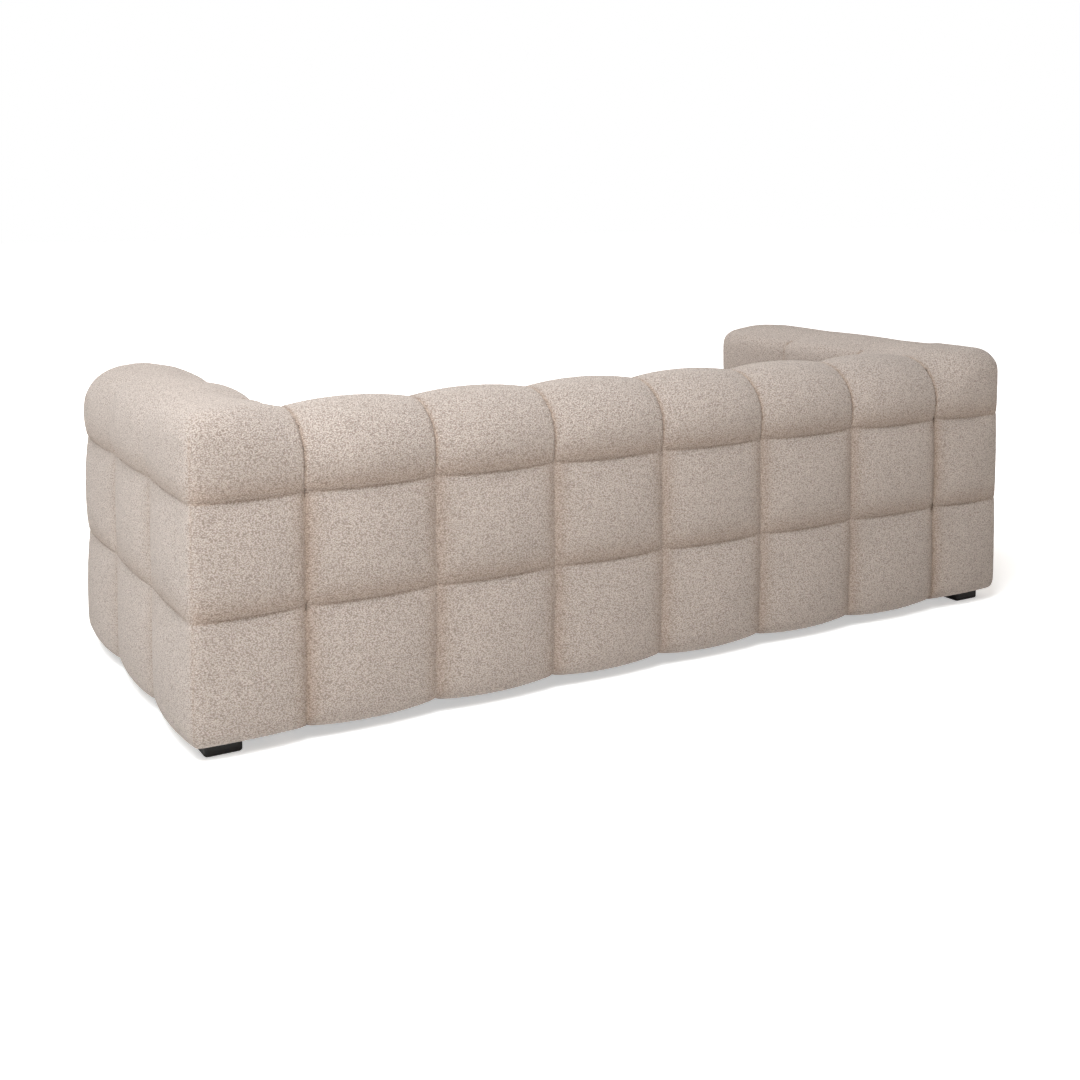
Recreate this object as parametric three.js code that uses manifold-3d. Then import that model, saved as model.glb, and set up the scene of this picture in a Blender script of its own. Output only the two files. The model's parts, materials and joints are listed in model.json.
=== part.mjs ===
// A tuxedo sofa: the arms are as high as the back, and the whole body is quilted in a grid of padded
// cells. Millimetres, +Z up. The origin lies on the floor under the middle of the sofa. The sofa faces
// -Y, and +X is the sitter's left.
import * as THREE from 'three';
import { mergeVertices } from 'three/addons/utils/BufferGeometryUtils.js';
import Module from 'manifold-3d';

const wasm = await Module();
wasm.setup();

// Whole sofa
const overallLength = 2400;
const overallDepth = 1000;
const topSeamHeight = 726;
const upperSeamHeight = 549;
const lowerSeamHeight = 300;
const seatSeamHeight = 420;
const footHeight = 30;
const armWidth = 248;
const backThickness = 240;

// Quilting: how far the middle of a padded cell stands out from its seams
const faceCrown = 18;
const topCrown = 13;
const underCrown = 8;
const backCellCount = 6;
const armCellCount = 3;
const underTuck = 30;
const fullnessPower = 2.8;

// Rounded edges of the body and of the seat. The top of the back is one wide roll, a little lower than
// the arms. The upright corners are crisp, and widen into a dome near the top.
const armRollRadius = 75;
const backRollRadius = 115;
const backTopDrop = 10;
const cornerRadius = 16;
const domeRadius = 85;
const domeHeight = 106;
const baseEdgeRadius = 12;
const seatRollRadius = 60;
const seatEdgeRadius = 10;

// Padding from a seam plane to the timber, and how much of it is the foam under the cover. The hem, where
// the covers are tucked in round the seat, lies a drop below the seat's own seam.
const outerPadding = 34;
const innerPadding = 45;
const topPadding = 90;
const frontPadding = 40;
const outerFoam = 10;
const innerFoam = 20;
const topFoam = 25;
const seatTopWall = 40;
const seatSideWall = 25;
const coverHemDrop = 80;

// Timber. The seat rails end a drop below the seat's seam, which leaves room for springs and foam.
const panelThickness = 6;
const armBoard = 30;
const seatBoard = 25;
const seatRailDrop = 158;
const stretcherHeight = 150;
const stretcherDip = 45;
const cornerBlockLeg = 90;
const cornerBlockHeight = 60;
const windowMargin = 60;
const windowRadius = 35;
const backPostCount = 5;
const armPostNames = ['front_post', 'middle_post', 'rear_post'];
const stretcherCount = 2;

// Seat suspension
const springCount = 8;
const springWireRadius = 1.9;
const springRise = 14;
const springHalfWidth = 24;
const springWavelength = 88;
const springSides = 5;
const springStepsPerWave = 6;
const feltThickness = 6;

// Feet, their screws and the dust cover
const footLength = 84;
const footCoverClearance = 6;
const footBevel = 3;
const footCornerRadius = 6;
const screwShankRadius = 3;
const screwHeadRadius = 7;
const screwHeadHeight = 4;
const screwLength = 45;
const counterboreRadius = 9;
const counterboreDepth = 8;
const boreClearance = 0.4;
const dustCoverThickness = 2;
const dustCoverMargin = 6;

// Clearances: between two covers, round padding and timber, and between pieces that touch
const seamGap = 0.6;
const fitClearance = 0.4;
const contactGap = 0.3;
const cutOverrun = 5;

// Planes that follow from the sizes above
const endX = overallLength / 2 - faceCrown;
const armInnerX = endX - armWidth;
const rearY = overallDepth / 2 - faceCrown;
const frontY = -rearY;
const backFrontY = rearY - backThickness;
const baseZ = footHeight;
const coverHemHeight = seatSeamHeight - coverHemDrop;
const seatRailTop = seatSeamHeight - seatRailDrop;
const seatHalfWidth = armInnerX - seamGap;
const seatRearY = backFrontY - seamGap;

// The box that the timber of an arm fills; the back and seat frames run between the two arms
const armTimber = {
  x0: armInnerX + innerPadding,
  x1: endX - outerPadding,
  y0: frontY + frontPadding,
  y1: rearY - outerPadding,
  z0: baseZ,
  z1: topSeamHeight - topPadding,
};
const backTimber = {
  x0: contactGap - armTimber.x0,
  x1: armTimber.x0 - contactGap,
  y0: backFrontY + innerPadding,
  y1: armTimber.y1,
  z0: armTimber.z0,
  z1: armTimber.z1,
};
const seatTimber = {
  x0: backTimber.x0,
  x1: backTimber.x1,
  y0: armTimber.y0,
  y1: backTimber.y0 - contactGap,
  z0: baseZ,
  z1: seatRailTop,
};

// Seam lines of the quilting
const backSeams = evenly(-armInnerX, armInnerX, backCellCount);
const rearFaceSeams = [-endX, ...backSeams, endX];
const sideFaceSeams = evenly(frontY, rearY, armCellCount);
const armCell = (rearY - frontY) / armCellCount;
const armTopSeams = [frontY - armCell, ...sideFaceSeams.slice(1, -1), rearY + armCell];
const armInsideSeams = [...sideFaceSeams.filter((y) => y < backFrontY), backFrontY];
const bandTurn = 2 * topSeamHeight - upperSeamHeight;
const outsideLevels = [baseZ - underTuck, lowerSeamHeight, upperSeamHeight, bandTurn];
const insideLevels = [seatSeamHeight, upperSeamHeight, bandTurn];
const seatRowSeams = [frontY - armCell, sideFaceSeams[1], backFrontY];
const seatFrontLevels = [baseZ - underTuck, lowerSeamHeight, 2 * seatSeamHeight - lowerSeamHeight];

// Where the grid lines of a cover lie, as shares of the cell or of the width that they divide
const cellLineShares = [0.07, 0.3, 0.7, 0.93];
const widthLineShares = [0.1, 0.27, 0.5, 0.73, 0.9];
const bandLineShares = [0.1, 0.36, 0.63, 0.87];
const seamSideShares = [0.08, 0.3, 0.92];

const materials = {
  boucle: finish(0xb8ada0, 0.95, 0),
  foam: finish(0xe6dfc8, 0.9, 0),
  felt: finish(0x8b8d90, 0.95, 0),
  dustCloth: finish(0x1d1c1c, 0.9, 0),
  beech: finish(0xc9a477, 0.7, 0),
  hardboard: finish(0x8a6a48, 0.8, 0),
  springSteel: finish(0x9a9da1, 0.35, 0.9),
  blackFoot: finish(0x120806, 0.5, 0),
  screwSteel: finish(0xb7babd, 0.3, 0.9),
};

function finish(colour, roughness, metalness) {
  return new THREE.MeshStandardMaterial({ color: colour, roughness, metalness });
}

// Values from start to end that divide the way into equal steps
function evenly(start, end, count) {
  return Array.from({ length: count + 1 }, (_, i) => start + ((end - start) * i) / count);
}

// Solids

// Steps of a quarter turn in the edge of a board, and of a full turn in a screw or its hole
const boardArcSteps = 3;
const turnSteps = 14;

function weld(geometry) {
  const bare = geometry.clone();
  bare.deleteAttribute('normal');
  bare.deleteAttribute('uv');
  return mergeVertices(bare);
}

function toSolid(geometry) {
  const welded = weld(geometry);
  return new wasm.Manifold(new wasm.Mesh({
    numProp: 3,
    vertProperties: new Float32Array(welded.attributes.position.array),
    triVerts: new Uint32Array(welded.index.array),
  }));
}

function toGeometry(solid) {
  const mesh = solid.getMesh();
  const geometry = new THREE.BufferGeometry();
  geometry.setAttribute('position', new THREE.BufferAttribute(new Float32Array(mesh.vertProperties), 3));
  geometry.setIndex(new THREE.BufferAttribute(new Uint32Array(mesh.triVerts), 1));
  geometry.computeVertexNormals();
  return geometry;
}

function cut(geometry, ...tools) {
  const solid = tools.reduce((rest, tool) => rest.subtract(toSolid(tool)), toSolid(geometry));
  return toGeometry(solid);
}

function block({ x0, x1, y0, y1, z0, z1 }) {
  const box = new THREE.BoxGeometry(x1 - x0, y1 - y0, z1 - z0);
  return box.translate((x0 + x1) / 2, (y0 + y1) / 2, (z0 + z1) / 2);
}

function rectangle(u0, v0, u1, v1) {
  const points = [[u0, v0], [u1, v0], [u1, v1], [u0, v1]];
  return new THREE.Shape(points.map(([u, v]) => new THREE.Vector2(u, v)));
}

function roundedOutline(path, u0, v0, u1, v1, radius) {
  path.moveTo(u0 + radius, v0);
  path.lineTo(u1 - radius, v0);
  path.absarc(u1 - radius, v0 + radius, radius, -Math.PI / 2, 0);
  path.lineTo(u1, v1 - radius);
  path.absarc(u1 - radius, v1 - radius, radius, 0, Math.PI / 2);
  path.lineTo(u0 + radius, v1);
  path.absarc(u0 + radius, v1 - radius, radius, Math.PI / 2, Math.PI);
  path.lineTo(u0, v0 + radius);
  path.absarc(u0 + radius, v0 + radius, radius, Math.PI, Math.PI * 1.5);
  return path;
}

// A flat profile drawn in Y and Z, pushed along X from x0 to x1
function pushAlongX(shape, x0, x1) {
  const depth = x1 - x0;
  const body = new THREE.ExtrudeGeometry(shape, { depth, bevelEnabled: false, curveSegments: boardArcSteps });
  const turn = new THREE.Matrix4().makeBasis(
    new THREE.Vector3(0, 1, 0), new THREE.Vector3(0, 0, 1), new THREE.Vector3(1, 0, 0),
  );
  return body.applyMatrix4(turn).translate(x0, 0, 0);
}

// A flat profile drawn in X and Z, pushed along Y from y0 to y1
function pushAlongY(shape, y0, y1) {
  const depth = y1 - y0;
  const body = new THREE.ExtrudeGeometry(shape, { depth, bevelEnabled: false, curveSegments: boardArcSteps });
  return body.rotateX(Math.PI / 2).translate(0, y1, 0);
}

function mirrorX(geometry) {
  const mirrored = weld(geometry).scale(-1, 1, 1);
  const index = mirrored.index.array;
  for (let i = 0; i < index.length; i += 3) [index[i], index[i + 1]] = [index[i + 1], index[i]];
  mirrored.computeVertexNormals();
  return mirrored;
}

// Shape of the upholstery, as a distance that is negative inside

function roundedMeeting(a, b, radius) {
  const p = a + radius;
  const q = b + radius;
  return Math.min(Math.max(p, q), 0) + Math.hypot(Math.max(p, 0), Math.max(q, 0)) - radius;
}

function planDistance(x, y, z, x0, x1, y0, y1) {
  const widening = THREE.MathUtils.smoothstep(z, topSeamHeight - domeHeight, topSeamHeight);
  const radius = THREE.MathUtils.lerp(cornerRadius, domeRadius, widening);
  return roundedMeeting(Math.max(x0 - x, x - x1), Math.max(y0 - y, y - y1), radius);
}

// The top seams climb from the back to the arms where the two meet
function aboveTop(p) {
  const climb = THREE.MathUtils.smoothstep(Math.abs(p.x), armInnerX, armInnerX + armWidth / 2);
  return p.z - topSeamHeight + backTopDrop * (1 - climb);
}

function backDistance(p) {
  const upright = planDistance(p.x, p.y, p.z, -endX, endX, backFrontY, rearY);
  const rolled = roundedMeeting(upright, aboveTop(p), backRollRadius);
  return roundedMeeting(rolled, baseZ - p.z, baseEdgeRadius);
}

// An arm, joined to the back. Its rear end follows the wide roll of the back.
function armDistance(p) {
  const upright = planDistance(Math.abs(p.x), p.y, p.z, armInnerX, endX, frontY, rearY);
  const rolled = Math.max(
    roundedMeeting(upright, aboveTop(p), armRollRadius),
    roundedMeeting(p.y - rearY, aboveTop(p), backRollRadius),
  );
  return Math.min(roundedMeeting(rolled, baseZ - p.z, baseEdgeRadius), backDistance(p));
}

function seatDistance(p) {
  const rolled = roundedMeeting(frontY - p.y, p.z - seatSeamHeight, seatRollRadius);
  const sided = roundedMeeting(rolled, Math.abs(p.x) - seatHalfWidth, seatEdgeRadius);
  const backed = roundedMeeting(sided, p.y - seatRearY, seatEdgeRadius);
  return roundedMeeting(backed, baseZ - p.z, baseEdgeRadius);
}

// How full a cell is: 0 on its seams, 1 in its middle
function fullness(value, seams) {
  const next = seams.findIndex((seam) => seam > value);
  if (next < 1) return 0;
  const halfCell = (seams[next] - seams[next - 1]) / 2;
  const reach = Math.min(value - seams[next - 1], seams[next] - value) / halfCell;
  return 1 - (1 - reach) ** fullnessPower;
}

// The seam between an arm and the back ends where the inside of the back begins
function armSeamFullness(p) {
  const away = Math.hypot(Math.abs(p.x) - armInnerX, Math.max(backFrontY - p.y, 0));
  return 1 - (1 - Math.min(away / (armWidth / 2), 1)) ** fullnessPower;
}

function bodyCrown(p, n) {
  const onArm = Math.abs(p.x) > armInnerX;
  const facesSeatSideways = n.x * p.x < 0;
  const facesSeatForwards = n.y < 0 && !onArm;
  const sideways = facesSeatSideways
    ? fullness(p.y, armInsideSeams) * fullness(p.z, insideLevels)
    : fullness(p.y, sideFaceSeams) * fullness(p.z, outsideLevels);
  const lengthways = fullness(p.x, rearFaceSeams)
    * fullness(p.z, facesSeatForwards ? insideLevels : outsideLevels);
  const over = onArm ? fullness(p.y, armTopSeams) * armSeamFullness(p) : fullness(p.x, backSeams);
  const level = n.z > 0 ? topCrown * over : underCrown * over;
  return faceCrown * (n.x ** 2 * sideways + n.y ** 2 * lengthways) + level * n.z ** 2;
}

function seatCrown(p, n) {
  if (n.y > 0) return 0;
  const columns = fullness(p.x, backSeams);
  const front = faceCrown * fullness(p.z, seatFrontLevels) * n.y ** 2;
  const top = n.z > 0 ? topCrown * fullness(p.y, seatRowSeams) : underCrown;
  return columns * (front + top * n.z ** 2);
}

// Slope of a distance at a point; an axis that is held has no slope
const probe = 0.05;
function slopeOf(distance, p, held) {
  const slope = new THREE.Vector3();
  for (const axis of ['x', 'y', 'z']) {
    if (axis === held) continue;
    const ahead = p.clone();
    const behind = p.clone();
    ahead[axis] += probe;
    behind[axis] -= probe;
    slope[axis] = (distance(ahead) - distance(behind)) / (ahead[axis] - behind[axis]);
  }
  return slope;
}

// A block with grid lines at the given places, laid on the shape of the upholstery and then padded
// out. jointAt says which side of the block is a plain cut against a neighbour. The edge of that side
// follows the section of the back, and its inner points lie inside that edge.
const settlePasses = 8;
const jointInset = 6;
function quiltedBlock(lines, distance, crown, jointAt) {
  const [xs, ys, zs] = lines;
  const counts = lines.map((list) => list.length - 1);
  const cover = weld(new THREE.BoxGeometry(1, 1, 1, ...counts));
  const position = cover.attributes.position;
  const lineOf = (list, share) => Math.round((share + 0.5) * (list.length - 1));
  for (let i = 0; i < position.count; i += 1) {
    const at = [
      lineOf(xs, position.getX(i)), lineOf(ys, position.getY(i)), lineOf(zs, position.getZ(i)),
    ];
    const p = new THREE.Vector3(xs[at[0]], ys[at[1]], zs[at[2]]);
    const joint = jointAt(p);
    const onOtherSide = at.some((line, k) => 'xyz'[k] !== joint && (line === 0 || line === counts[k]));
    const shape = joint ? backDistance : distance;
    const inset = joint && !onOtherSide ? jointInset : 0;
    if (!inset || shape(p) > -inset) {
      for (let pass = 0; pass < settlePasses; pass += 1) {
        const slope = slopeOf(shape, p, joint);
        p.addScaledVector(slope, -(shape(p) + inset) / slope.lengthSq());
      }
    }
    if (!inset) {
      const normal = slopeOf(shape, p, joint).normalize();
      p.addScaledVector(normal, crown(p, normal));
    }
    position.setXYZ(i, p.x, p.y, p.z);
  }
  return cover;
}

// Grid lines: each seam, with lines at shares of the way to the next one
function gridLines(seams, shares) {
  const lines = [];
  seams.slice(0, -1).forEach((seam, i) => {
    const width = seams[i + 1] - seam;
    lines.push(seam, ...shares.map((share) => seam + width * share));
  });
  return [...lines, seams.at(-1)];
}

// The covers of the arms and the back also have a line where the seat meets them
const coverLevels = [
  ...gridLines([baseZ, lowerSeamHeight], cellLineShares).slice(0, -1),
  ...gridLines([lowerSeamHeight, upperSeamHeight], seamSideShares).slice(0, -1),
  ...gridLines([upperSeamHeight, topSeamHeight], bandLineShares),
  seatSeamHeight,
].sort((a, b) => a - b);

// Covers with their wadding. Each is open underneath, and open to its neighbours below the hem that
// is tucked in round the seat, where the timber frames meet.

function leftArmCover() {
  const alongArm = [
    ...gridLines(sideFaceSeams, cellLineShares).filter((y) => y < backFrontY),
    ...gridLines([backFrontY, rearY], widthLineShares),
  ];
  const lines = [gridLines([armInnerX, endX], widthLineShares), alongArm, coverLevels];
  const jointAt = (p) => (p.x === armInnerX && p.y > backFrontY ? 'x' : null);
  const padded = quiltedBlock(lines, armDistance, bodyCrown, jointAt);
  const pocket = block({
    x0: armTimber.x0 - innerFoam - fitClearance,
    x1: armTimber.x1 + outerFoam + fitClearance,
    y0: armTimber.y0 - fitClearance,
    y1: armTimber.y1 + outerFoam + fitClearance,
    z0: baseZ - cutOverrun - underCrown,
    z1: armTimber.z1 + topFoam + fitClearance,
  });
  const belowSeat = block({
    x0: armInnerX - cutOverrun,
    x1: armTimber.x0 + cutOverrun,
    y0: armTimber.y0 - fitClearance,
    y1: backFrontY + innerPadding,
    z0: baseZ - cutOverrun - underCrown,
    z1: coverHemHeight,
  });
  const towardsBack = block({
    x0: armInnerX - cutOverrun,
    x1: armTimber.x0 + cutOverrun,
    y0: backTimber.y0 - innerFoam - fitClearance,
    y1: backTimber.y1 + outerFoam + fitClearance,
    z0: baseZ - cutOverrun - underCrown,
    z1: backTimber.z1 + topFoam + fitClearance,
  });
  return cut(padded, pocket, belowSeat, towardsBack);
}

function backCover() {
  const end = armInnerX - seamGap;
  const columns = gridLines(backSeams, cellLineShares).slice(1, -1);
  const lines = [
    [-end, ...columns, end], gridLines([backFrontY, rearY], widthLineShares), coverLevels,
  ];
  const jointAt = (p) => (Math.abs(p.x) === end ? 'x' : null);
  const padded = quiltedBlock(lines, backDistance, bodyCrown, jointAt);
  const pocket = block({
    x0: -armInnerX - cutOverrun,
    x1: armInnerX + cutOverrun,
    y0: backTimber.y0 - innerFoam - fitClearance,
    y1: backTimber.y1 + outerFoam + fitClearance,
    z0: baseZ - cutOverrun - underCrown,
    z1: backTimber.z1 + topFoam + fitClearance,
  });
  const belowSeat = block({
    x0: -armInnerX - cutOverrun,
    x1: armInnerX + cutOverrun,
    y0: backFrontY - cutOverrun,
    y1: backTimber.y0,
    z0: baseZ - cutOverrun - underCrown,
    z1: coverHemHeight,
  });
  return cut(padded, pocket, belowSeat);
}

const seatSpace = {
  x0: seatSideWall - seatHalfWidth,
  x1: seatHalfWidth - seatSideWall,
  y0: seatTimber.y0,
  y1: seatRearY - seatSideWall,
  z1: seatSeamHeight - seatTopWall,
};

function seatCover() {
  const columns = gridLines(backSeams, cellLineShares).slice(1, -1);
  const rows = [
    ...gridLines([frontY, seatRowSeams[1]], cellLineShares).slice(0, -1),
    ...gridLines([seatRowSeams[1], seatRearY], cellLineShares),
  ];
  const levels = [
    ...gridLines([baseZ, lowerSeamHeight], cellLineShares).slice(0, -1),
    ...gridLines([lowerSeamHeight, seatSeamHeight], cellLineShares),
  ];
  const lines = [[-seatHalfWidth, ...columns, seatHalfWidth], rows, levels];
  const padded = quiltedBlock(lines, seatDistance, seatCrown, () => null);
  const pocket = block({
    ...seatSpace,
    y0: seatSpace.y0 - fitClearance,
    z0: baseZ - cutOverrun - underCrown,
  });
  const belowHem = block({
    x0: -armInnerX - cutOverrun,
    x1: armInnerX + cutOverrun,
    y0: seatTimber.y0 - fitClearance,
    y1: backFrontY + cutOverrun,
    z0: baseZ - cutOverrun - underCrown,
    z1: coverHemHeight,
  });
  return cut(padded, pocket, belowHem);
}

// Foam, wrapped over the top of a frame in one saddle

function leftArmFoam() {
  const { x0, x1, y0, y1, z1 } = armTimber;
  const body = block({
    x0: x0 - innerFoam, x1: x1 + outerFoam, y0, y1: y1 + outerFoam, z0: coverHemHeight, z1: z1 + topFoam,
  });
  const overFrame = block({
    x0: x0 - contactGap,
    x1: x1 + contactGap,
    y0: y0 - cutOverrun,
    y1: y1 + contactGap,
    z0: coverHemHeight - cutOverrun,
    z1: z1 + contactGap,
  });
  const towardsBack = block({
    x0: x0 - innerFoam - cutOverrun,
    x1: x0,
    y0: backTimber.y0 - innerFoam - contactGap,
    y1: y1 + contactGap,
    z0: coverHemHeight - cutOverrun,
    z1: z1 + contactGap,
  });
  return cut(body, overFrame, towardsBack);
}

function backFoam() {
  const { y0, y1, z1 } = backTimber;
  const end = armTimber.x0 - innerFoam - contactGap;
  const body = block({
    x0: -end, x1: end, y0: y0 - innerFoam, y1: y1 + outerFoam, z0: coverHemHeight, z1: z1 + topFoam,
  });
  const overFrame = block({
    x0: -end - cutOverrun,
    x1: end + cutOverrun,
    y0: y0 - contactGap,
    y1: y1 + contactGap,
    z0: coverHemHeight - cutOverrun,
    z1: z1 + contactGap,
  });
  return cut(body, overFrame);
}

// Frames

// A thin board with rounded windows between the uprights, drawn on its length and its height
function windowedBoard(u0, v0, u1, v1, uprights) {
  const board = rectangle(u0, v0, u1, v1);
  uprights.slice(0, -1).forEach((upright, i) => {
    const window = new THREE.Path();
    roundedOutline(
      window, upright + windowMargin, v0 + windowMargin, uprights[i + 1] - windowMargin, v1 - windowMargin,
      windowRadius,
    );
    board.holes.push(window);
  });
  return board;
}

function leftArmFrame() {
  const { x0, x1, y0, y1, z0, z1 } = armTimber;
  const inside = { x0: x0 + panelThickness + contactGap, x1: x1 - panelThickness - contactGap };
  const postSpan = { z0: z0 + armBoard + contactGap, z1: z1 - armBoard - contactGap };
  const postStarts = evenly(y0, y1 - armBoard, armPostNames.length - 1);
  const uprights = postStarts.map((start) => start + armBoard / 2);
  const panel = windowedBoard(y0, z0, y1, z1, uprights);
  const pieces = {
    bottom_rail: cut(block({ ...inside, y0, y1, z0, z1: z0 + armBoard }), ...screwPilots()),
    top_rail: block({ ...inside, y0, y1, z0: z1 - armBoard, z1 }),
    inner_panel: pushAlongX(panel, x0, x0 + panelThickness),
    outer_panel: pushAlongX(panel, x1 - panelThickness, x1),
  };
  postStarts.forEach((start, i) => {
    pieces[armPostNames[i]] = block({ ...inside, ...postSpan, y0: start, y1: start + armBoard });
  });
  return pieces;
}

function backFrame() {
  const { x0, x1, y0, y1, z0, z1 } = backTimber;
  const inside = { y0: y0 + panelThickness + contactGap, y1: y1 - panelThickness - contactGap };
  const postSpan = { z0: z0 + armBoard + contactGap, z1: z1 - armBoard - contactGap };
  const postStarts = evenly(x0, x1 - armBoard, backPostCount - 1);
  const uprights = postStarts.map((start) => start + armBoard / 2);
  const panel = windowedBoard(x0, z0, x1, z1, uprights);
  const pieces = {
    back_bottom_rail: block({ ...inside, x0, x1, z0, z1: z0 + armBoard }),
    back_top_rail: block({ ...inside, x0, x1, z0: z1 - armBoard, z1 }),
    back_inner_panel: pushAlongY(panel, y0, y0 + panelThickness),
    back_outer_panel: pushAlongY(panel, y1 - panelThickness, y1),
  };
  postStarts.forEach((start, i) => {
    pieces[`back_post_${i + 1}`] = block({ ...inside, ...postSpan, x0: start, x1: start + armBoard });
  });
  return pieces;
}

// A board on edge, front to back, with a dip in its top edge that leaves room for the springs
function stretcherOutline(y0, y1, z0) {
  const top = z0 + stretcherHeight;
  const outline = new THREE.Shape();
  outline.moveTo(y0, z0);
  outline.lineTo(y1, z0);
  outline.lineTo(y1, top);
  outline.quadraticCurveTo((y0 + y1) / 2, top - 2 * stretcherDip, y0, top);
  return outline;
}

function cornerBlock(x, y, inX, inY) {
  const leg = cornerBlockLeg;
  const outline = new THREE.Shape([
    new THREE.Vector2(0, 0), new THREE.Vector2(leg, 0), new THREE.Vector2(0, leg),
  ]);
  const prism = new THREE.ExtrudeGeometry(outline, { depth: cornerBlockHeight, bevelEnabled: false });
  const turn = Math.atan2(inY, inX) - Math.PI / 4;
  return prism.rotateZ(turn).translate(x, y, baseZ);
}

function seatFrame() {
  const { x0, x1, y0, y1, z0, z1 } = seatTimber;
  const between = { y0: y0 + seatBoard + contactGap, y1: y1 - seatBoard - contactGap };
  const inner = { x0: x0 + seatBoard + contactGap, x1: x1 - seatBoard - contactGap };
  const pieces = {
    seat_front_rail: block({ x0, x1, y0, y1: y0 + seatBoard, z0, z1 }),
    seat_rear_rail: block({ x0, x1, y0: y1 - seatBoard, y1, z0, z1 }),
    seat_left_rail: block({ ...between, x0: x1 - seatBoard, x1, z0, z1 }),
    seat_right_rail: block({ ...between, x0, x1: x0 + seatBoard, z0, z1 }),
    corner_block_front_left: cornerBlock(inner.x1, between.y0, -1, 1),
    corner_block_front_right: cornerBlock(inner.x0, between.y0, 1, 1),
    corner_block_rear_left: cornerBlock(inner.x1, between.y1, -1, -1),
    corner_block_rear_right: cornerBlock(inner.x0, between.y1, 1, -1),
  };
  const middles = evenly(x0, x1, stretcherCount + 1).slice(1, -1);
  const outline = stretcherOutline(between.y0, between.y1, z0);
  middles.forEach((x, i) => {
    pieces[`seat_stretcher_${i + 1}`] = pushAlongX(outline, x - seatBoard / 2, x + seatBoard / 2);
  });
  return pieces;
}

// Seat suspension

// Centre line of a zigzag spring from rail to rail, bowed up between them
class ZigzagLine extends THREE.Curve {
  constructor(x, y0, y1, z) {
    super();
    Object.assign(this, { x, y0, y1, z, waves: Math.round((y1 - y0) / springWavelength) });
  }

  getPoint(t, target = new THREE.Vector3()) {
    const swing = springHalfWidth * Math.sin(2 * Math.PI * this.waves * t);
    const rise = springRise * Math.sin(Math.PI * t);
    return target.set(this.x + swing, this.y0 + (this.y1 - this.y0) * t, this.z + rise);
  }
}

function seatSprings() {
  const y0 = seatTimber.y0 + seatBoard / 2;
  const y1 = seatTimber.y1 - seatBoard / 2;
  const z = seatRailTop + contactGap + springWireRadius;
  const corners = evenly(0, 2 * Math.PI, springSides).slice(0, -1);
  const wire = new THREE.Shape(corners.map((angle) => (
    new THREE.Vector2(Math.cos(angle), Math.sin(angle)).multiplyScalar(springWireRadius)
  )));
  const edges = evenly(seatSpace.x0, seatSpace.x1, springCount);
  return edges.slice(0, -1).map((edge, i) => {
    const line = new ZigzagLine((edge + edges[i + 1]) / 2, y0, y1, z);
    const steps = line.waves * springStepsPerWave;
    return new THREE.ExtrudeGeometry(wire, { steps, extrudePath: line, bevelEnabled: false });
  });
}

const feltZ = seatRailTop + 2 * (contactGap + springWireRadius) + springRise;
function seatPadding() {
  const edge = {
    x0: seatSpace.x0 + fitClearance,
    x1: seatSpace.x1 - fitClearance,
    y0: seatSpace.y0 + fitClearance,
    y1: seatSpace.y1 - fitClearance,
  };
  const foamZ = feltZ + feltThickness + contactGap;
  return {
    spring_felt: block({ ...edge, z0: feltZ, z1: feltZ + feltThickness }),
    seat_foam: block({ ...edge, z0: foamZ, z1: seatSpace.z1 - fitClearance }),
  };
}

// Feet

const footX = endX - outerPadding + outerFoam - footCoverClearance - footLength / 2;
const footRows = {
  front: frontY + frontPadding + footCoverClearance + footLength / 2,
  rear: rearY - outerPadding + outerFoam - footCoverClearance - footLength / 2,
};

function turned(profile) {
  const lathe = new THREE.LatheGeometry(profile.map(([r, z]) => new THREE.Vector2(r, z)), turnSteps);
  return lathe.rotateX(Math.PI / 2);
}

function rod(radius, z0, z1) {
  return turned([[0, z0], [radius, z0], [radius, z1], [0, z1]]);
}

function screwPilots() {
  const pilot = rod(screwShankRadius + boreClearance, baseZ - cutOverrun, baseZ + screwLength);
  return Object.values(footRows).map((y) => pilot.clone().translate(footX, y, 0));
}

// A slab with softened edges and a counterbored hole for its screw, centred on its own axis
function foot() {
  const half = footLength / 2 - footBevel;
  const outline = roundedOutline(new THREE.Shape(), -half, -half, half, half, footCornerRadius);
  const height = footHeight - contactGap;
  const slab = new THREE.ExtrudeGeometry(outline, {
    depth: height - 2 * footBevel,
    bevelSize: footBevel,
    bevelThickness: footBevel,
    bevelSegments: 1,
    curveSegments: boardArcSteps,
  }).translate(0, 0, footBevel);
  const hole = rod(screwShankRadius + boreClearance, -cutOverrun, height + cutOverrun);
  const counterbore = rod(counterboreRadius, -cutOverrun, counterboreDepth);
  return cut(slab, hole, counterbore);
}

function footScrew() {
  const seat = counterboreDepth - contactGap;
  const tip = Math.min(seat + screwLength, baseZ + armBoard - contactGap);
  return turned([
    [0, seat - screwHeadHeight], [screwHeadRadius - screwHeadHeight / 2, seat - screwHeadHeight],
    [screwHeadRadius, seat - screwHeadHeight / 2], [screwHeadRadius, seat], [screwShankRadius, seat],
    [screwShankRadius, tip - screwShankRadius], [0, tip],
  ]);
}

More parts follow.
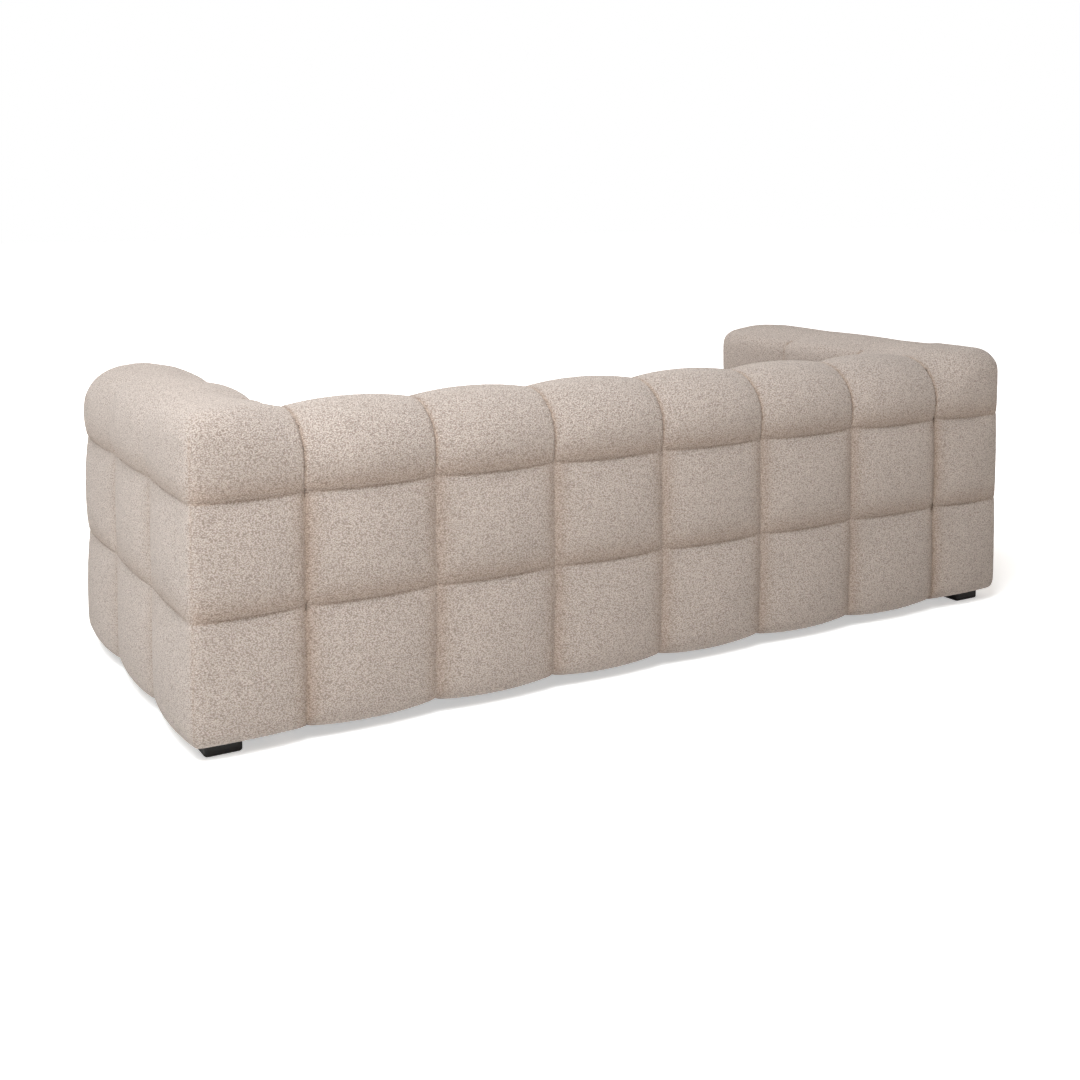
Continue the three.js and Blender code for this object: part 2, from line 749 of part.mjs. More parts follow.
// Black cloth under the frame, cut out round each foot
function dustCover() {
  const x1 = armTimber.x1 - dustCoverMargin;
  const y1 = armTimber.y1 - dustCoverMargin;
  const y0 = armTimber.y0 + dustCoverMargin;
  const notchX = footX - footLength / 2 - dustCoverMargin;
  const rearNotch = footRows.rear - footLength / 2 - dustCoverMargin;
  const frontNotch = footRows.front + footLength / 2 + dustCoverMargin;
  const outline = new THREE.Shape([
    [x1, frontNotch], [x1, rearNotch], [notchX, rearNotch], [notchX, y1],
    [-notchX, y1], [-notchX, rearNotch], [-x1, rearNotch], [-x1, frontNotch],
    [-notchX, frontNotch], [-notchX, y0], [notchX, y0], [notchX, frontNotch],
  ].map(([x, y]) => new THREE.Vector2(x, y)));
  const cloth = new THREE.ExtrudeGeometry(outline, { depth: dustCoverThickness, bevelEnabled: false });
  return cloth.translate(0, 0, baseZ - contactGap - dustCoverThickness);
}

// Assembly

const sofa = new THREE.Group();

function addPiece(name, geometry, material, parent = sofa) {
  const mesh = new THREE.Mesh(geometry, material);
  mesh.name = name;
  parent.add(mesh);
  return mesh;
}

function addAll(pieces, material, prefix = '') {
  for (const [name, geometry] of Object.entries(pieces)) {
    const thin = name.endsWith('panel') ? materials.hardboard : material;
    addPiece(`${prefix}${name}`, geometry, thin);
  }
}

const armCover = leftArmCover();
addPiece('left_arm_cover', armCover, materials.boucle);
addPiece('right_arm_cover', mirrorX(armCover), materials.boucle);
addPiece('back_cover', backCover(), materials.boucle);
addPiece('seat_cover', seatCover(), materials.boucle);

const armFoam = leftArmFoam();
addPiece('left_arm_foam', armFoam, materials.foam);
addPiece('right_arm_foam', mirrorX(armFoam), materials.foam);
addPiece('back_foam', backFoam(), materials.foam);

const armFrame = leftArmFrame();
addAll(armFrame, materials.beech, 'left_arm_');
for (const [name, geometry] of Object.entries(armFrame)) armFrame[name] = mirrorX(geometry);
addAll(armFrame, materials.beech, 'right_arm_');
addAll(backFrame(), materials.beech);
addAll(seatFrame(), materials.beech);

seatSprings().forEach((spring, i) => addPiece(`seat_spring_${i + 1}`, spring, materials.springSteel));
const { spring_felt: springFelt, seat_foam: seatFoam } = seatPadding();
addPiece('spring_felt', springFelt, materials.felt);
addPiece('seat_foam', seatFoam, materials.foam);
addPiece('dust_cover', dustCover(), materials.dustCloth);

for (const [rowName, y] of Object.entries(footRows)) {
  for (const [sideName, side] of [['left', 1], ['right', -1]]) {
    const corner = new THREE.Group();
    corner.position.set(side * footX, y, 0);
    addPiece(`foot_${rowName}_${sideName}`, foot(), materials.blackFoot, corner);
    addPiece(`foot_screw_${rowName}_${sideName}`, footScrew(), materials.screwSteel, corner);
    sofa.add(corner);
  }
}

export default sofa;
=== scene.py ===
# %% [markdown]
# # A quilted sofa, seen from behind
# The sofa is a box of timber, springs and foam under one thick looped cloth. Stitched seams divide the
# cloth into a grid of padded cells. The CAD parts are already in place and give the exact sizes; this
# lesson dresses them: it replaces the plain covers with stuffed ones and gives every part its finish.

# %% Load the frame
import json
import math

import bmesh
import bpy
import numpy as np
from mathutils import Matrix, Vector, noise

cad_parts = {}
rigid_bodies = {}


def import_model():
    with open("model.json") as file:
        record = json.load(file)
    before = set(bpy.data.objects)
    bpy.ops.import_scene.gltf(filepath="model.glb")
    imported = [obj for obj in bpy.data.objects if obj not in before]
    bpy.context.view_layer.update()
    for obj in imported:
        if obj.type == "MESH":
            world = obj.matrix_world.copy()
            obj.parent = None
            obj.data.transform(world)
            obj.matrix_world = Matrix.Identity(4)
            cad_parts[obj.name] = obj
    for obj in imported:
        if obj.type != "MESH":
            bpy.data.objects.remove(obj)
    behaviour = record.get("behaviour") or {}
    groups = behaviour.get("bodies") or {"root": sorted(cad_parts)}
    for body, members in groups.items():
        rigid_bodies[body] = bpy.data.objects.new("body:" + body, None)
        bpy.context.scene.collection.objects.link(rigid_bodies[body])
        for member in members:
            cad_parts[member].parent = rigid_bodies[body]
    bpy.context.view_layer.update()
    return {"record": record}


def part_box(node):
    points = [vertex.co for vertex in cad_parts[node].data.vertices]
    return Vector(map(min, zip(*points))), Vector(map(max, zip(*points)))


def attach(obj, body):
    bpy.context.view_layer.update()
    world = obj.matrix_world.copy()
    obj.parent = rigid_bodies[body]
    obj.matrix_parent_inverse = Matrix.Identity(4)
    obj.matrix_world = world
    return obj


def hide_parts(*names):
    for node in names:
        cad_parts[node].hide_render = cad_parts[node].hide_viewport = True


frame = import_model()
scene = bpy.context.scene

# %% [markdown]
# ## Camera
# The photograph was taken at about chest height, behind the sofa and to its left. Its lens was found by
# fitting the crossings of the seams. The vertical shift stands for the way the picture was cropped, and
# keeps the upright edges almost parallel.

# %% Set the camera
FRAME_PIXELS = 1080
FOCAL_PIXELS = 1386.5
SENSOR_MM = 36.0
CAMERA_PLACE = Vector((1.977, 3.257, 1.188))
CAMERA_TURN = math.radians(30.33)
CAMERA_DIP = math.radians(4.0)

camera_data = bpy.data.cameras.new("photo_camera")
camera_data.sensor_width = SENSOR_MM
camera_data.lens = SENSOR_MM * FOCAL_PIXELS / FRAME_PIXELS
camera_data.shift_y = -0.2325
camera = bpy.data.objects.new("photo_camera", camera_data)
scene.collection.objects.link(camera)
looking = Vector((
    -math.sin(CAMERA_TURN) * math.cos(CAMERA_DIP),
    -math.cos(CAMERA_TURN) * math.cos(CAMERA_DIP),
    -math.sin(CAMERA_DIP),
))
camera.location = CAMERA_PLACE
camera.rotation_euler = looking.to_track_quat("-Z", "Y").to_euler()
scene.camera = camera
print("lens:", round(camera_data.lens, 2), "mm")

# %% [markdown]
# ## Shape of the upholstery
# Without its padding the sofa is a U of two arms and a back, rolled over at the top, with a seat in it.
# It could be modelled by hand with bevels, but then the covers would have to be matched to each other
# face by face. Here a signed distance says how far a point is from the shape: below zero is inside.
# Rounding comes from the way two such distances meet, and every cover is laid on the same shape.

# %% Name the driving sizes
SOFA_LENGTH = 2.400
SOFA_DEPTH = 1.000
SEAM_DEPTH = 0.018
ARM_WIDTH = 0.248
BACK_THICKNESS = 0.240
BASE_Z = 0.030
LOWER_SEAM_Z = 0.300
SEAT_Z = 0.420
BAND_SEAM_Z = 0.549
ARM_TOP_Z = 0.726
BACK_TOP_Z = 0.716

END_X = SOFA_LENGTH / 2 - SEAM_DEPTH
ARM_INNER_X = END_X - ARM_WIDTH
REAR_Y = SOFA_DEPTH / 2 - SEAM_DEPTH
FRONT_Y = -REAR_Y
BACK_FRONT_Y = REAR_Y - BACK_THICKNESS
SEAM_GAP = 0.0006
JOINT_GAP = 0.00005
SEAT_HALF_WIDTH = ARM_INNER_X - SEAM_GAP
SEAT_REAR_Y = BACK_FRONT_Y - SEAM_GAP
print("seam planes at x", round(END_X, 3), round(ARM_INNER_X, 3), "and y", round(REAR_Y, 3))

# %% Measure the distance to the unpadded shape
ARM_OUTER_ROLL = 0.082
ARM_INNER_ROLL = 0.028
ARM_INNER_DROP = 0.020
BACK_ROLL = 0.115
END_ROLL = 0.048
CORNER_ROLL = 0.014
DOME_ROLL = 0.045
DOME_HEIGHT = 0.055
FRONT_CORNER_ROLL = 0.035
FRONT_DOME_ROLL = 0.122
FRONT_DOME_HEIGHT = 0.180
BASE_ROLL = 0.026
SEAT_ROLL = 0.060
SEAT_EDGE_ROLL = 0.010


def rounded_meeting(a, b, radius):
    p, q = a + radius, b + radius
    return np.minimum(np.maximum(p, q), 0) + np.hypot(np.maximum(p, 0), np.maximum(q, 0)) - radius


def smooth_step(value, low, high):
    share = np.clip((value - low) / (high - low), 0, 1)
    return share * share * (3 - 2 * share)


def blend(first, second, share):
    return first + (second - first) * share


def plan_distance(x, y, z, x0, x1, y0, y1):
    """The upright corners are crisp and end in a small dome; the outer front ones are rounder."""
    outer_front = (y < 0) & (np.abs(x) > END_X - ARM_WIDTH / 2)
    rear_roll = blend(CORNER_ROLL, DOME_ROLL, smooth_step(z, ARM_TOP_Z - DOME_HEIGHT, ARM_TOP_Z))
    front_share = smooth_step(z, ARM_TOP_Z - FRONT_DOME_HEIGHT, ARM_TOP_Z)
    front_roll = blend(FRONT_CORNER_ROLL, FRONT_DOME_ROLL, front_share)
    roll = np.where(outer_front, front_roll, rear_roll)
    return rounded_meeting(np.maximum(x0 - x, x - x1), np.maximum(y0 - y, y - y1), roll)


def over_arm_share(x):
    """0 on the back and 1 on the outer half of an arm."""
    return smooth_step(np.abs(x), ARM_INNER_X, ARM_INNER_X + ARM_WIDTH / 2)


def rear_rolled(upright, x, y, z):
    """The rear top edge is one wide roll along the back, and a tighter one at the end of an arm."""
    above = z - blend(BACK_TOP_Z, ARM_TOP_Z, over_arm_share(x))
    roll = blend(BACK_ROLL, END_ROLL, smooth_step(np.abs(x), ARM_INNER_X, END_X - DOME_ROLL))
    return rounded_meeting(upright, above, roll)


def back_distance(p):
    x, y, z = p.T
    upright = plan_distance(x, y, z, -END_X, END_X, BACK_FRONT_Y, REAR_Y)
    return rounded_meeting(rear_rolled(upright, x, y, z), BASE_Z - z, BASE_ROLL)


def arm_distance(p):
    """An arm is round on the outside of its top and crisp on the inside, where its top dips a little."""
    x, y, z = p.T
    across = np.abs(x)
    upright = plan_distance(across, y, z, ARM_INNER_X, END_X, FRONT_Y, REAR_Y)
    dip = ARM_INNER_DROP * (1 - smooth_step(across, ARM_INNER_X, ARM_INNER_X + ARM_WIDTH / 2))
    outer_share = smooth_step(across, ARM_INNER_X + ARM_INNER_ROLL, END_X - ARM_OUTER_ROLL)
    rolled = rounded_meeting(upright, z - ARM_TOP_Z + dip, blend(ARM_INNER_ROLL, ARM_OUTER_ROLL, outer_share))
    rolled = np.maximum(rolled, rear_rolled(y - REAR_Y, x, y, z))
    return np.minimum(rounded_meeting(rolled, BASE_Z - z, BASE_ROLL), back_distance(p))


def seat_distance(p):
    x, y, z = p.T
    rolled = rounded_meeting(FRONT_Y - y, z - SEAT_Z, SEAT_ROLL)
    sided = rounded_meeting(rolled, np.abs(x) - SEAT_HALF_WIDTH, SEAT_EDGE_ROLL)
    backed = rounded_meeting(sided, y - SEAT_REAR_Y, SEAT_EDGE_ROLL)
    return rounded_meeting(backed, BASE_Z - z, BASE_ROLL)


PROBE = 0.00005


def slope(distance, p, held):
    """Slope of a distance at each point; a held point has no slope along X."""
    out = np.zeros_like(p)
    for axis in range(3):
        step = np.zeros(3)
        step[axis] = PROBE
        out[:, axis] = (distance(p + step) - distance(p - step)) / (2 * PROBE)
    out[held, 0] = 0
    return out


print("distance at the top of the back, which should be 0:", back_distance(np.array([[0, 0.36, BACK_TOP_Z]])))

# %% [markdown]
# ## Padding of a cell
# Between two seams the wadding lifts the cloth. Across a cell the bulge is even, with its steepest part
# at the seams. Down a cell it isn't: the filling has settled, so that each cell hangs over the seam
# below it and leaves the seam above it in a long slope. That uneven profile makes the dark shade over
# each level seam of the photograph and the pale strip under it. A formula was chosen over sculpting,
# because every cell follows the same rule, and the rule can be tuned against the photograph.

# %% List the seams
BACK_CELLS = 6
ARM_CELLS = 3
ARM_CELL = (REAR_Y - FRONT_Y) / ARM_CELLS
BACK_SEAMS = np.linspace(-ARM_INNER_X, ARM_INNER_X, BACK_CELLS + 1)
REAR_FACE_SEAMS = np.array([-END_X, *BACK_SEAMS, END_X])
SIDE_SEAMS = np.linspace(FRONT_Y, REAR_Y, ARM_CELLS + 1)
ARM_TOP_SEAMS = np.array([FRONT_Y - ARM_CELL, *SIDE_SEAMS[1:-1], REAR_Y + ARM_CELL])
ARM_INSIDE_SEAMS = np.array([*SIDE_SEAMS[SIDE_SEAMS < BACK_FRONT_Y], BACK_FRONT_Y])
SEAT_ROWS = np.array([FRONT_Y - ARM_CELL, SIDE_SEAMS[1], BACK_FRONT_Y])
BAND_TURN_Z = 2 * ARM_TOP_Z - BAND_SEAM_Z
OUTSIDE_LEVELS = np.array([0.0, LOWER_SEAM_Z, BAND_SEAM_Z, BAND_TURN_Z])
INSIDE_LEVELS = np.array([SEAT_Z, BAND_SEAM_Z, BAND_TURN_Z])
SEAT_LEVELS = np.array([0.0, LOWER_SEAM_Z, 2 * SEAT_Z - LOWER_SEAM_Z])
print("upright seams of the back at x:", np.round(BACK_SEAMS, 3))

# %% Describe the bulge of a cell
SIDE_FULLNESS = 2.15
BELLY_SHARE = 0.45
UNDERCUT = 0.65
UPPER_POWER = 2.2
BAND_BELLY = 0.085
MOOD = 0.07


def cell_share(value, seams):
    """How far across its cell a value lies, from 0 to 1, and the cell's number."""
    number = np.clip(np.searchsorted(seams, value, side="right"), 1, len(seams) - 1)
    low, high = seams[number - 1], seams[number]
    return np.clip((value - low) / (high - low), 0, 1), number


def bulge_across(value, seams):
    share, _ = cell_share(value, seams)
    return 1 - np.abs(2 * share - 1) ** SIDE_FULLNESS


def hanging(rise):
    """From 0 on the seam to 1 at the belly: partly a round undercut, partly a gentle arch."""
    left = 1 - np.clip(rise, 0, 1)
    return UNDERCUT * np.sqrt(1 - left**2) + (1 - UNDERCUT) * (1 - left**2)


def bulge_down(z, levels):
    share, _ = cell_share(z, levels)
    above = 1 - (np.maximum(share - BELLY_SHARE, 0) / (1 - BELLY_SHARE)) ** UPPER_POWER
    return np.where(share < BELLY_SHARE, hanging(share / BELLY_SHARE), above)


def bulge_band(z, levels):
    """The top band is full from its roll over the seam up to the top, where it turns over."""
    _, number = cell_share(z, levels)
    low = levels[number - 1]
    return np.where(number == len(levels) - 1, hanging((z - low) / BAND_BELLY), bulge_down(z, levels))


def cell_mood(*numbers):
    """A number from -1 to 1 that belongs to one cell, because no two are stuffed alike."""
    wave = np.sin(sum(number * weight for number, weight in zip(numbers, (12.99, 78.23, 37.72)))) * 43758.5
    return 2 * (wave - np.floor(wave)) - 1


print("bulge of a lower cell, from its lower seam up:",
      np.round(bulge_down(np.linspace(0, LOWER_SEAM_Z - 0.001, 7), OUTSIDE_LEVELS), 2))

# %% Pad a point of the body
FACE_CROWN = 0.020
TOP_CROWN = 0.014
ARM_TOP_CROWN = 0.012
UNDER_CROWN = 0.012
REAR_SEAM_LIFT = 0.08
SIDE_SEAM_LIFT = 0.02
CORNER_LIFT = 0.30
FRONT_CORNER_LIFT = 0.25
BAND_SEAM_LIFT = 0.04
BAND_SIDE_LIFT = 0.62
LEVEL_SEAM_LIFT = 0.05
CORNER_LEVEL_LIFT = 0.72
CORNER_REACH = 0.10
JOINT_LIFT = 0.25
JOINT_REACH = 0.06


def lifted(bulge, lift):
    return lift + (1 - lift) * bulge


def face_padding(across, down, across_lift, level_lift, mood):
    return lifted(across, across_lift) * lifted(down, level_lift) * (1 + MOOD * mood * across * down)


def body_padding(p, n):
    x, y, z = p.T
    nx, ny, nz = n.T
    on_arm = np.abs(x) > ARM_INNER_X
    in_band = smooth_step(z, BAND_SEAM_Z - 0.01, BAND_SEAM_Z + 0.05)
    above_seat = smooth_step(z, SEAT_Z - 0.005, SEAT_Z + 0.02)
    rear_lift = blend(REAR_SEAM_LIFT, BAND_SEAM_LIFT, in_band)
    rear_lift = blend(rear_lift, JOINT_LIFT, np.exp(-((np.abs(x) - ARM_INNER_X) / JOINT_REACH) ** 2))
    side_lift = blend(SIDE_SEAM_LIFT, BAND_SIDE_LIFT, in_band)
    down_outside, down_inside = bulge_band(z, OUTSIDE_LEVELS), bulge_band(z, INSIDE_LEVELS)
    _, level_number = cell_share(z, OUTSIDE_LEVELS)

    to_corner = smooth_step(np.abs(y), REAR_Y - CORNER_REACH, REAR_Y)
    corner_lift = np.where(y > 0, CORNER_LIFT, FRONT_CORNER_LIFT)
    corner_level_lift = np.where(y > 0, CORNER_LEVEL_LIFT, LEVEL_SEAM_LIFT)
    _, number = cell_share(y, SIDE_SEAMS)
    outer_side = face_padding(
        bulge_across(y, SIDE_SEAMS), down_outside, blend(side_lift, corner_lift, to_corner),
        blend(LEVEL_SEAM_LIFT, corner_level_lift, to_corner), cell_mood(number, level_number, 1))
    inner_side = above_seat * face_padding(
        bulge_across(y, ARM_INSIDE_SEAMS), down_inside, rear_lift, LEVEL_SEAM_LIFT, 0)
    sideways = np.where(nx * x < 0, inner_side, outer_side)

    to_corner = smooth_step(np.abs(x), END_X - CORNER_REACH, END_X)
    _, number = cell_share(x, REAR_FACE_SEAMS)
    end_lift = blend(rear_lift, corner_lift, to_corner)
    end_level_lift = blend(LEVEL_SEAM_LIFT, corner_level_lift, to_corner)
    across = bulge_across(x, REAR_FACE_SEAMS)
    mood = cell_mood(number, level_number, 2)
    outer_face = face_padding(across, down_outside, end_lift, end_level_lift, mood)
    inner_face = above_seat * face_padding(across, down_inside, end_lift, end_level_lift, 0)
    lengthways = np.where((ny < 0) & ~on_arm, inner_face, outer_face)

    away = np.hypot(np.abs(x) - ARM_INNER_X, np.maximum(BACK_FRONT_Y - y, 0))
    from_joint = 1 - (1 - np.minimum(2 * away / ARM_WIDTH, 1)) ** SIDE_FULLNESS
    outwards = smooth_step(np.abs(x), ARM_INNER_X, END_X - 0.04)
    over_arm = ARM_TOP_CROWN * lifted(bulge_across(y, ARM_TOP_SEAMS), 0.1 + 0.75 * outwards) * from_joint
    over = np.where(on_arm, over_arm, TOP_CROWN * bulge_across(x, BACK_SEAMS))
    under = UNDER_CROWN * np.where(on_arm, bulge_across(y, SIDE_SEAMS), bulge_across(x, BACK_SEAMS))
    level = np.where(nz > 0, over, under)
    return FACE_CROWN * (nx**2 * sideways + ny**2 * lengthways) + level * nz**2


print("padding in the middle of a lower rear cell, in mm:",
      np.round(1000 * body_padding(np.array([[0.15, REAR_Y, 0.13]]), np.array([[0.0, 1, 0]])), 1))

# %% Pad a point of the seat


def seat_padding(p, n):
    x, y, z = p.T
    _, ny, nz = n.T
    columns = bulge_across(x, BACK_SEAMS)
    front = FACE_CROWN * bulge_down(z, SEAT_LEVELS) * ny**2
    top = np.where(nz > 0, TOP_CROWN * bulge_across(y, SEAT_ROWS), UNDER_CROWN)
    return np.where(ny > 0.5, 0, columns * (front + top * nz**2))


print("padding in the middle of a seat cell, in mm:",
      np.round(1000 * seat_padding(np.array([[0.15, 0.0, SEAT_Z]]), np.array([[0.0, 0, 1]])), 1))

# %% [markdown]
# ## A cover as a stitched block
# Each cover starts as a cube. Its edges are cut into many steps, with extra lines close to each seam, so
# that a seam can be a narrow groove. The points then settle onto the unpadded shape and move out by the
# padding. This way was chosen over separate cushions because the real cloth is one skin, and only the
# stitches divide it.

# %% Place the grid lines
MESH_STEP = 0.0125
SEAT_MESH_STEP = 0.0150
BESIDE_A_SEAM = (0.003, 0.007, 0.013)


def ruled(stops, step=MESH_STEP):
    """Lines from stop to stop. A stop is (value, True if a seam runs there)."""
    lines = [stops[0][0]]
    for (low, low_seam), (high, high_seam) in zip(stops, stops[1:]):
        start = [low + d for d in BESIDE_A_SEAM] if low_seam else []
        end = [high - d for d in reversed(BESIDE_A_SEAM)] if high_seam else []
        first, last = (start or [low])[-1], (end or [high])[0]
        count = max(1, round((last - first) / step))
        middle = list(np.linspace(first, last, count + 1))
        lines += start[:-1] + (middle if start else middle[1:]) + (end[1:] if end else [])
        if end:
            lines.append(high)
    return np.array(lines)


LEVEL_STOPS = [(BASE_Z, False), (LOWER_SEAM_Z, True), (SEAT_Z, False), (BAND_SEAM_Z, True),
               (ARM_TOP_Z, False)]
print("lines up a cover:", len(ruled(LEVEL_STOPS)))

# %% Let seams wander
SAG = 0.003
DRIFT = 0.002
WANDER_REACH = 0.060


def wander(flat, normal):
    """Level seams sag a little between two crossings, and upright seams aren't quite straight."""
    x, y, z = flat.T
    sideways = np.abs(normal[:, 0]) > np.abs(normal[:, 1])
    share_x, _ = cell_share(x, REAR_FACE_SEAMS)
    share_y, _ = cell_share(y, SIDE_SEAMS)
    share = np.where(sideways, share_y, share_x)
    seam_z = np.where(z > (LOWER_SEAM_Z + BAND_SEAM_Z) / 2, BAND_SEAM_Z, LOWER_SEAM_Z)
    sag = SAG * 4 * share * (1 - share) * np.exp(-((z - seam_z) / WANDER_REACH) ** 2)
    inner_seams = BACK_SEAMS[1:-1]
    nearest_seam = inner_seams[np.abs(x[:, None] - inner_seams[None, :]).argmin(axis=1)]
    drift = DRIFT * np.sin(17 * z + 40 * nearest_seam) * np.exp(-((x - nearest_seam) / WANDER_REACH) ** 2)
    upright_face = np.abs(normal[:, 2]) < 0.7
    shift = np.zeros_like(flat)
    shift[:, 0] = np.where(np.abs(x) < ARM_INNER_X - 0.05, drift, 0) * upright_face
    shift[:, 2] = -sag * upright_face
    return shift


# %% Read and write the points of a mesh


def vectors(values, entry="co"):
    out = np.empty(len(values) * 3, np.float32)
    values.foreach_get(entry, out)
    return out.reshape(-1, 3).astype(float)


def set_vectors(values, rows, entry="co"):
    values.foreach_set(entry, rows.astype(np.float32).ravel())


# %% Keep the rim of a joint crisp


def mark_rim(mesh, rim):
    """A crease along the edge of a plain cut, so that dividing the mesh doesn't round it."""
    ends = np.empty(len(mesh.edges) * 2, np.int32)
    mesh.edges.foreach_get("vertices", ends)
    on_rim = rim[ends.reshape(-1, 2)].all(axis=1)
    crease = mesh.attributes.new("crease_edge", "FLOAT", "EDGE")
    crease.data.foreach_set("value", on_rim.astype(np.float32))


# %% Lay a block on the shape
SETTLE_PASSES = 8
WALL_SHARE = 0.7


def stitched_block(name, lines, distance, padding, joint):
    """A cube cut along the lines, laid on the shape and padded. joint(p) marks a plain cut side."""
    bm = bmesh.new()
    bmesh.ops.create_cube(bm, size=1)
    for axis, values in enumerate(lines):
        along = [e for e in bm.edges if abs(e.verts[0].co[axis] - e.verts[1].co[axis]) > 0.5]
        bmesh.ops.subdivide_edges(bm, edges=along, cuts=len(values) - 2, use_grid_fill=True)
    mesh = bpy.data.meshes.new(name)
    bm.to_mesh(mesh)
    bm.free()
    last = np.array([len(values) - 1 for values in lines])
    index = np.rint((vectors(mesh.vertices) + 0.5) * last).astype(int)
    flat = np.stack([np.asarray(values)[index[:, k]] for k, values in enumerate(lines)], axis=1)
    on_side = (index == 0) | (index == last)
    held = joint(flat)
    wall = held & ~on_side[:, 1] & ~on_side[:, 2]
    from_edges = [np.minimum(flat[:, k] - lines[k][0], lines[k][-1] - flat[:, k]) for k in (1, 2)]
    from_edge = np.min(from_edges, axis=0)
    depth = np.where(wall, WALL_SHARE * from_edge, 0)
    p = flat.copy()
    for _ in range(SETTLE_PASSES):
        s = slope(distance, p, held)
        away = distance(p) + depth
        away = np.where(wall, np.maximum(away, 0), away)
        p -= s * (away / np.maximum((s**2).sum(1), 1e-9))[:, None]
    normal = slope(distance, p, held)
    normal /= np.maximum(np.linalg.norm(normal, axis=1), 1e-9)[:, None]
    p += (normal * padding(p, normal)[:, None] + wander(flat, normal)) * ~wall[:, None]
    set_vectors(mesh.vertices, p)
    set_vectors(mesh.attributes.new("flat", "FLOAT_VECTOR", "POINT").data, flat, "vector")
    mark_rim(mesh, held & ~wall)
    mesh.update()
    piece = bpy.data.objects.new(name, mesh)
    scene.collection.objects.link(piece)
    print(name, len(mesh.vertices), "points")
    return piece


# %% Make the arm and the back
arm_x = ruled([(ARM_INNER_X + JOINT_GAP, True), (END_X, True)])
arm_y = ruled([(FRONT_Y, True), *[(y, True) for y in SIDE_SEAMS[1:-1]], (BACK_FRONT_Y, True), (REAR_Y, True)])
levels = ruled(LEVEL_STOPS)
left_arm = stitched_block(
    "left_arm_quilting", (arm_x, arm_y, levels), arm_distance, body_padding,
    lambda flat: (flat[:, 0] < ARM_INNER_X + 0.001) & (flat[:, 1] > BACK_FRONT_Y + 1e-6))
back_end = ARM_INNER_X - JOINT_GAP
back_x = ruled([(-back_end, True), *[(x, True) for x in BACK_SEAMS[1:-1]], (back_end, True)])
back = stitched_block(
    "back_quilting", (back_x, ruled([(BACK_FRONT_Y, False), (REAR_Y, False)]), levels),
    back_distance, body_padding, lambda flat: np.abs(flat[:, 0]) > back_end - 1e-6)

# %% Make the seat
seat_x = ruled([(-SEAT_HALF_WIDTH, False), *[(x, True) for x in BACK_SEAMS[1:-1]], (SEAT_HALF_WIDTH, False)],
               SEAT_MESH_STEP)
seat_y = ruled([(FRONT_Y, False), (SEAT_ROWS[1], True), (SEAT_REAR_Y, False)], SEAT_MESH_STEP)
seat_z = ruled([(BASE_Z, False), (LOWER_SEAM_Z, True), (SEAT_Z, False)], SEAT_MESH_STEP)
seat = stitched_block(
    "seat_quilting", (seat_x, seat_y, seat_z), seat_distance, seat_padding,
    lambda flat: np.zeros(len(flat), bool))

# %% [markdown]
# ## Filling the cells
# A cloth simulation blows the padded skin up from inside while the stitches stay where they are. The
# formula has already given the bulge, so the simulation only lets the cloth find its own tension: it
# rounds the cells, softens their corners and sets small differences between them. Its movement is
# capped, because a cover may not grow out of the sofa's size. The arms are mirror images, so only the
# left one is simulated.

# %% Find the stitches near a point


def nearest(value, seams):
    return np.abs(value[:, None] - np.asarray(seams)[None, :]).min(axis=1)


FAR = 1.0


def body_stitches(flat, normal):
    """Distance to the nearest upright seam, and height over the nearest level seam, on a point's face."""
    x, y, z = flat.T
    nx, ny, nz = normal.T
    on_arm = np.abs(x) > ARM_INNER_X
    sideways = (np.abs(nx) > np.abs(ny)) & on_arm
    arm_front = on_arm & ~sideways & (ny < -0.5)
    across_arm = nearest(y, SIDE_SEAMS[1:-1])
    joint = np.where(y > BACK_FRONT_Y, np.abs(np.abs(x) - ARM_INNER_X), FAR)
    overhead = np.abs(nz) > 0.75
    upright = np.where(sideways, across_arm, nearest(x, BACK_SEAMS))
    upright = np.where(overhead & on_arm, np.minimum(across_arm, joint), upright)
    upright = np.where(arm_front, FAR, upright)
    inside = np.where(sideways, nx * x < 0, (ny < -0.1) & ~on_arm)
    over_band = z - BAND_SEAM_Z
    over_lower = np.where(inside, FAR, z - LOWER_SEAM_Z)
    level = np.where(np.abs(over_band) < np.abs(over_lower), over_band, over_lower)
    return upright, np.where(overhead, FAR, level)


def seat_stitches(flat, normal):
    x, y, z = flat.T
    overhead = np.abs(normal[:, 2]) > 0.75
    across = nearest(y, SEAT_ROWS[1:2])
    return nearest(x, BACK_SEAMS), np.where(overhead, across, z - LOWER_SEAM_Z)


def stitches_of(piece):
    mesh = piece.data
    flat, normal = vectors(mesh.attributes["flat"].data, "vector"), vectors(mesh.vertices, "normal")
    normal[(np.abs(np.abs(flat[:, 0]) - ARM_INNER_X) < 0.0002) & (flat[:, 1] > BACK_FRONT_Y), 0] = 0
    normal /= np.maximum(np.linalg.norm(normal, axis=1), 1e-9)[:, None]
    find = seat_stitches if piece.name.startswith("seat") else body_stitches
    return flat, normal, *find(flat, normal)


# %% Simulate the cloth
CLOTH_FRAMES = 12
CLOTH_CAP = 0.004
PRESSURE = 3.0
GRIP_REACH = 0.012


def hidden_points(piece, flat, normal):
    """The underside, the sides that meet another cover and the inner faces below the seat don't move."""
    x, y, z = flat.T
    hidden = normal[:, 2] < -0.7
    if piece.name.startswith("seat"):
        return hidden | (np.abs(normal[:, 0]) > 0.8) | (normal[:, 1] > 0.5)
    on_joint = (np.abs(np.abs(x) - ARM_INNER_X) < 0.001) & (y > BACK_FRONT_Y)
    to_seat = (y < BACK_FRONT_Y + 0.001) & (np.abs(x) < ARM_INNER_X + 0.001)
    return hidden | on_joint | (to_seat & (z < SEAT_Z + 0.01))


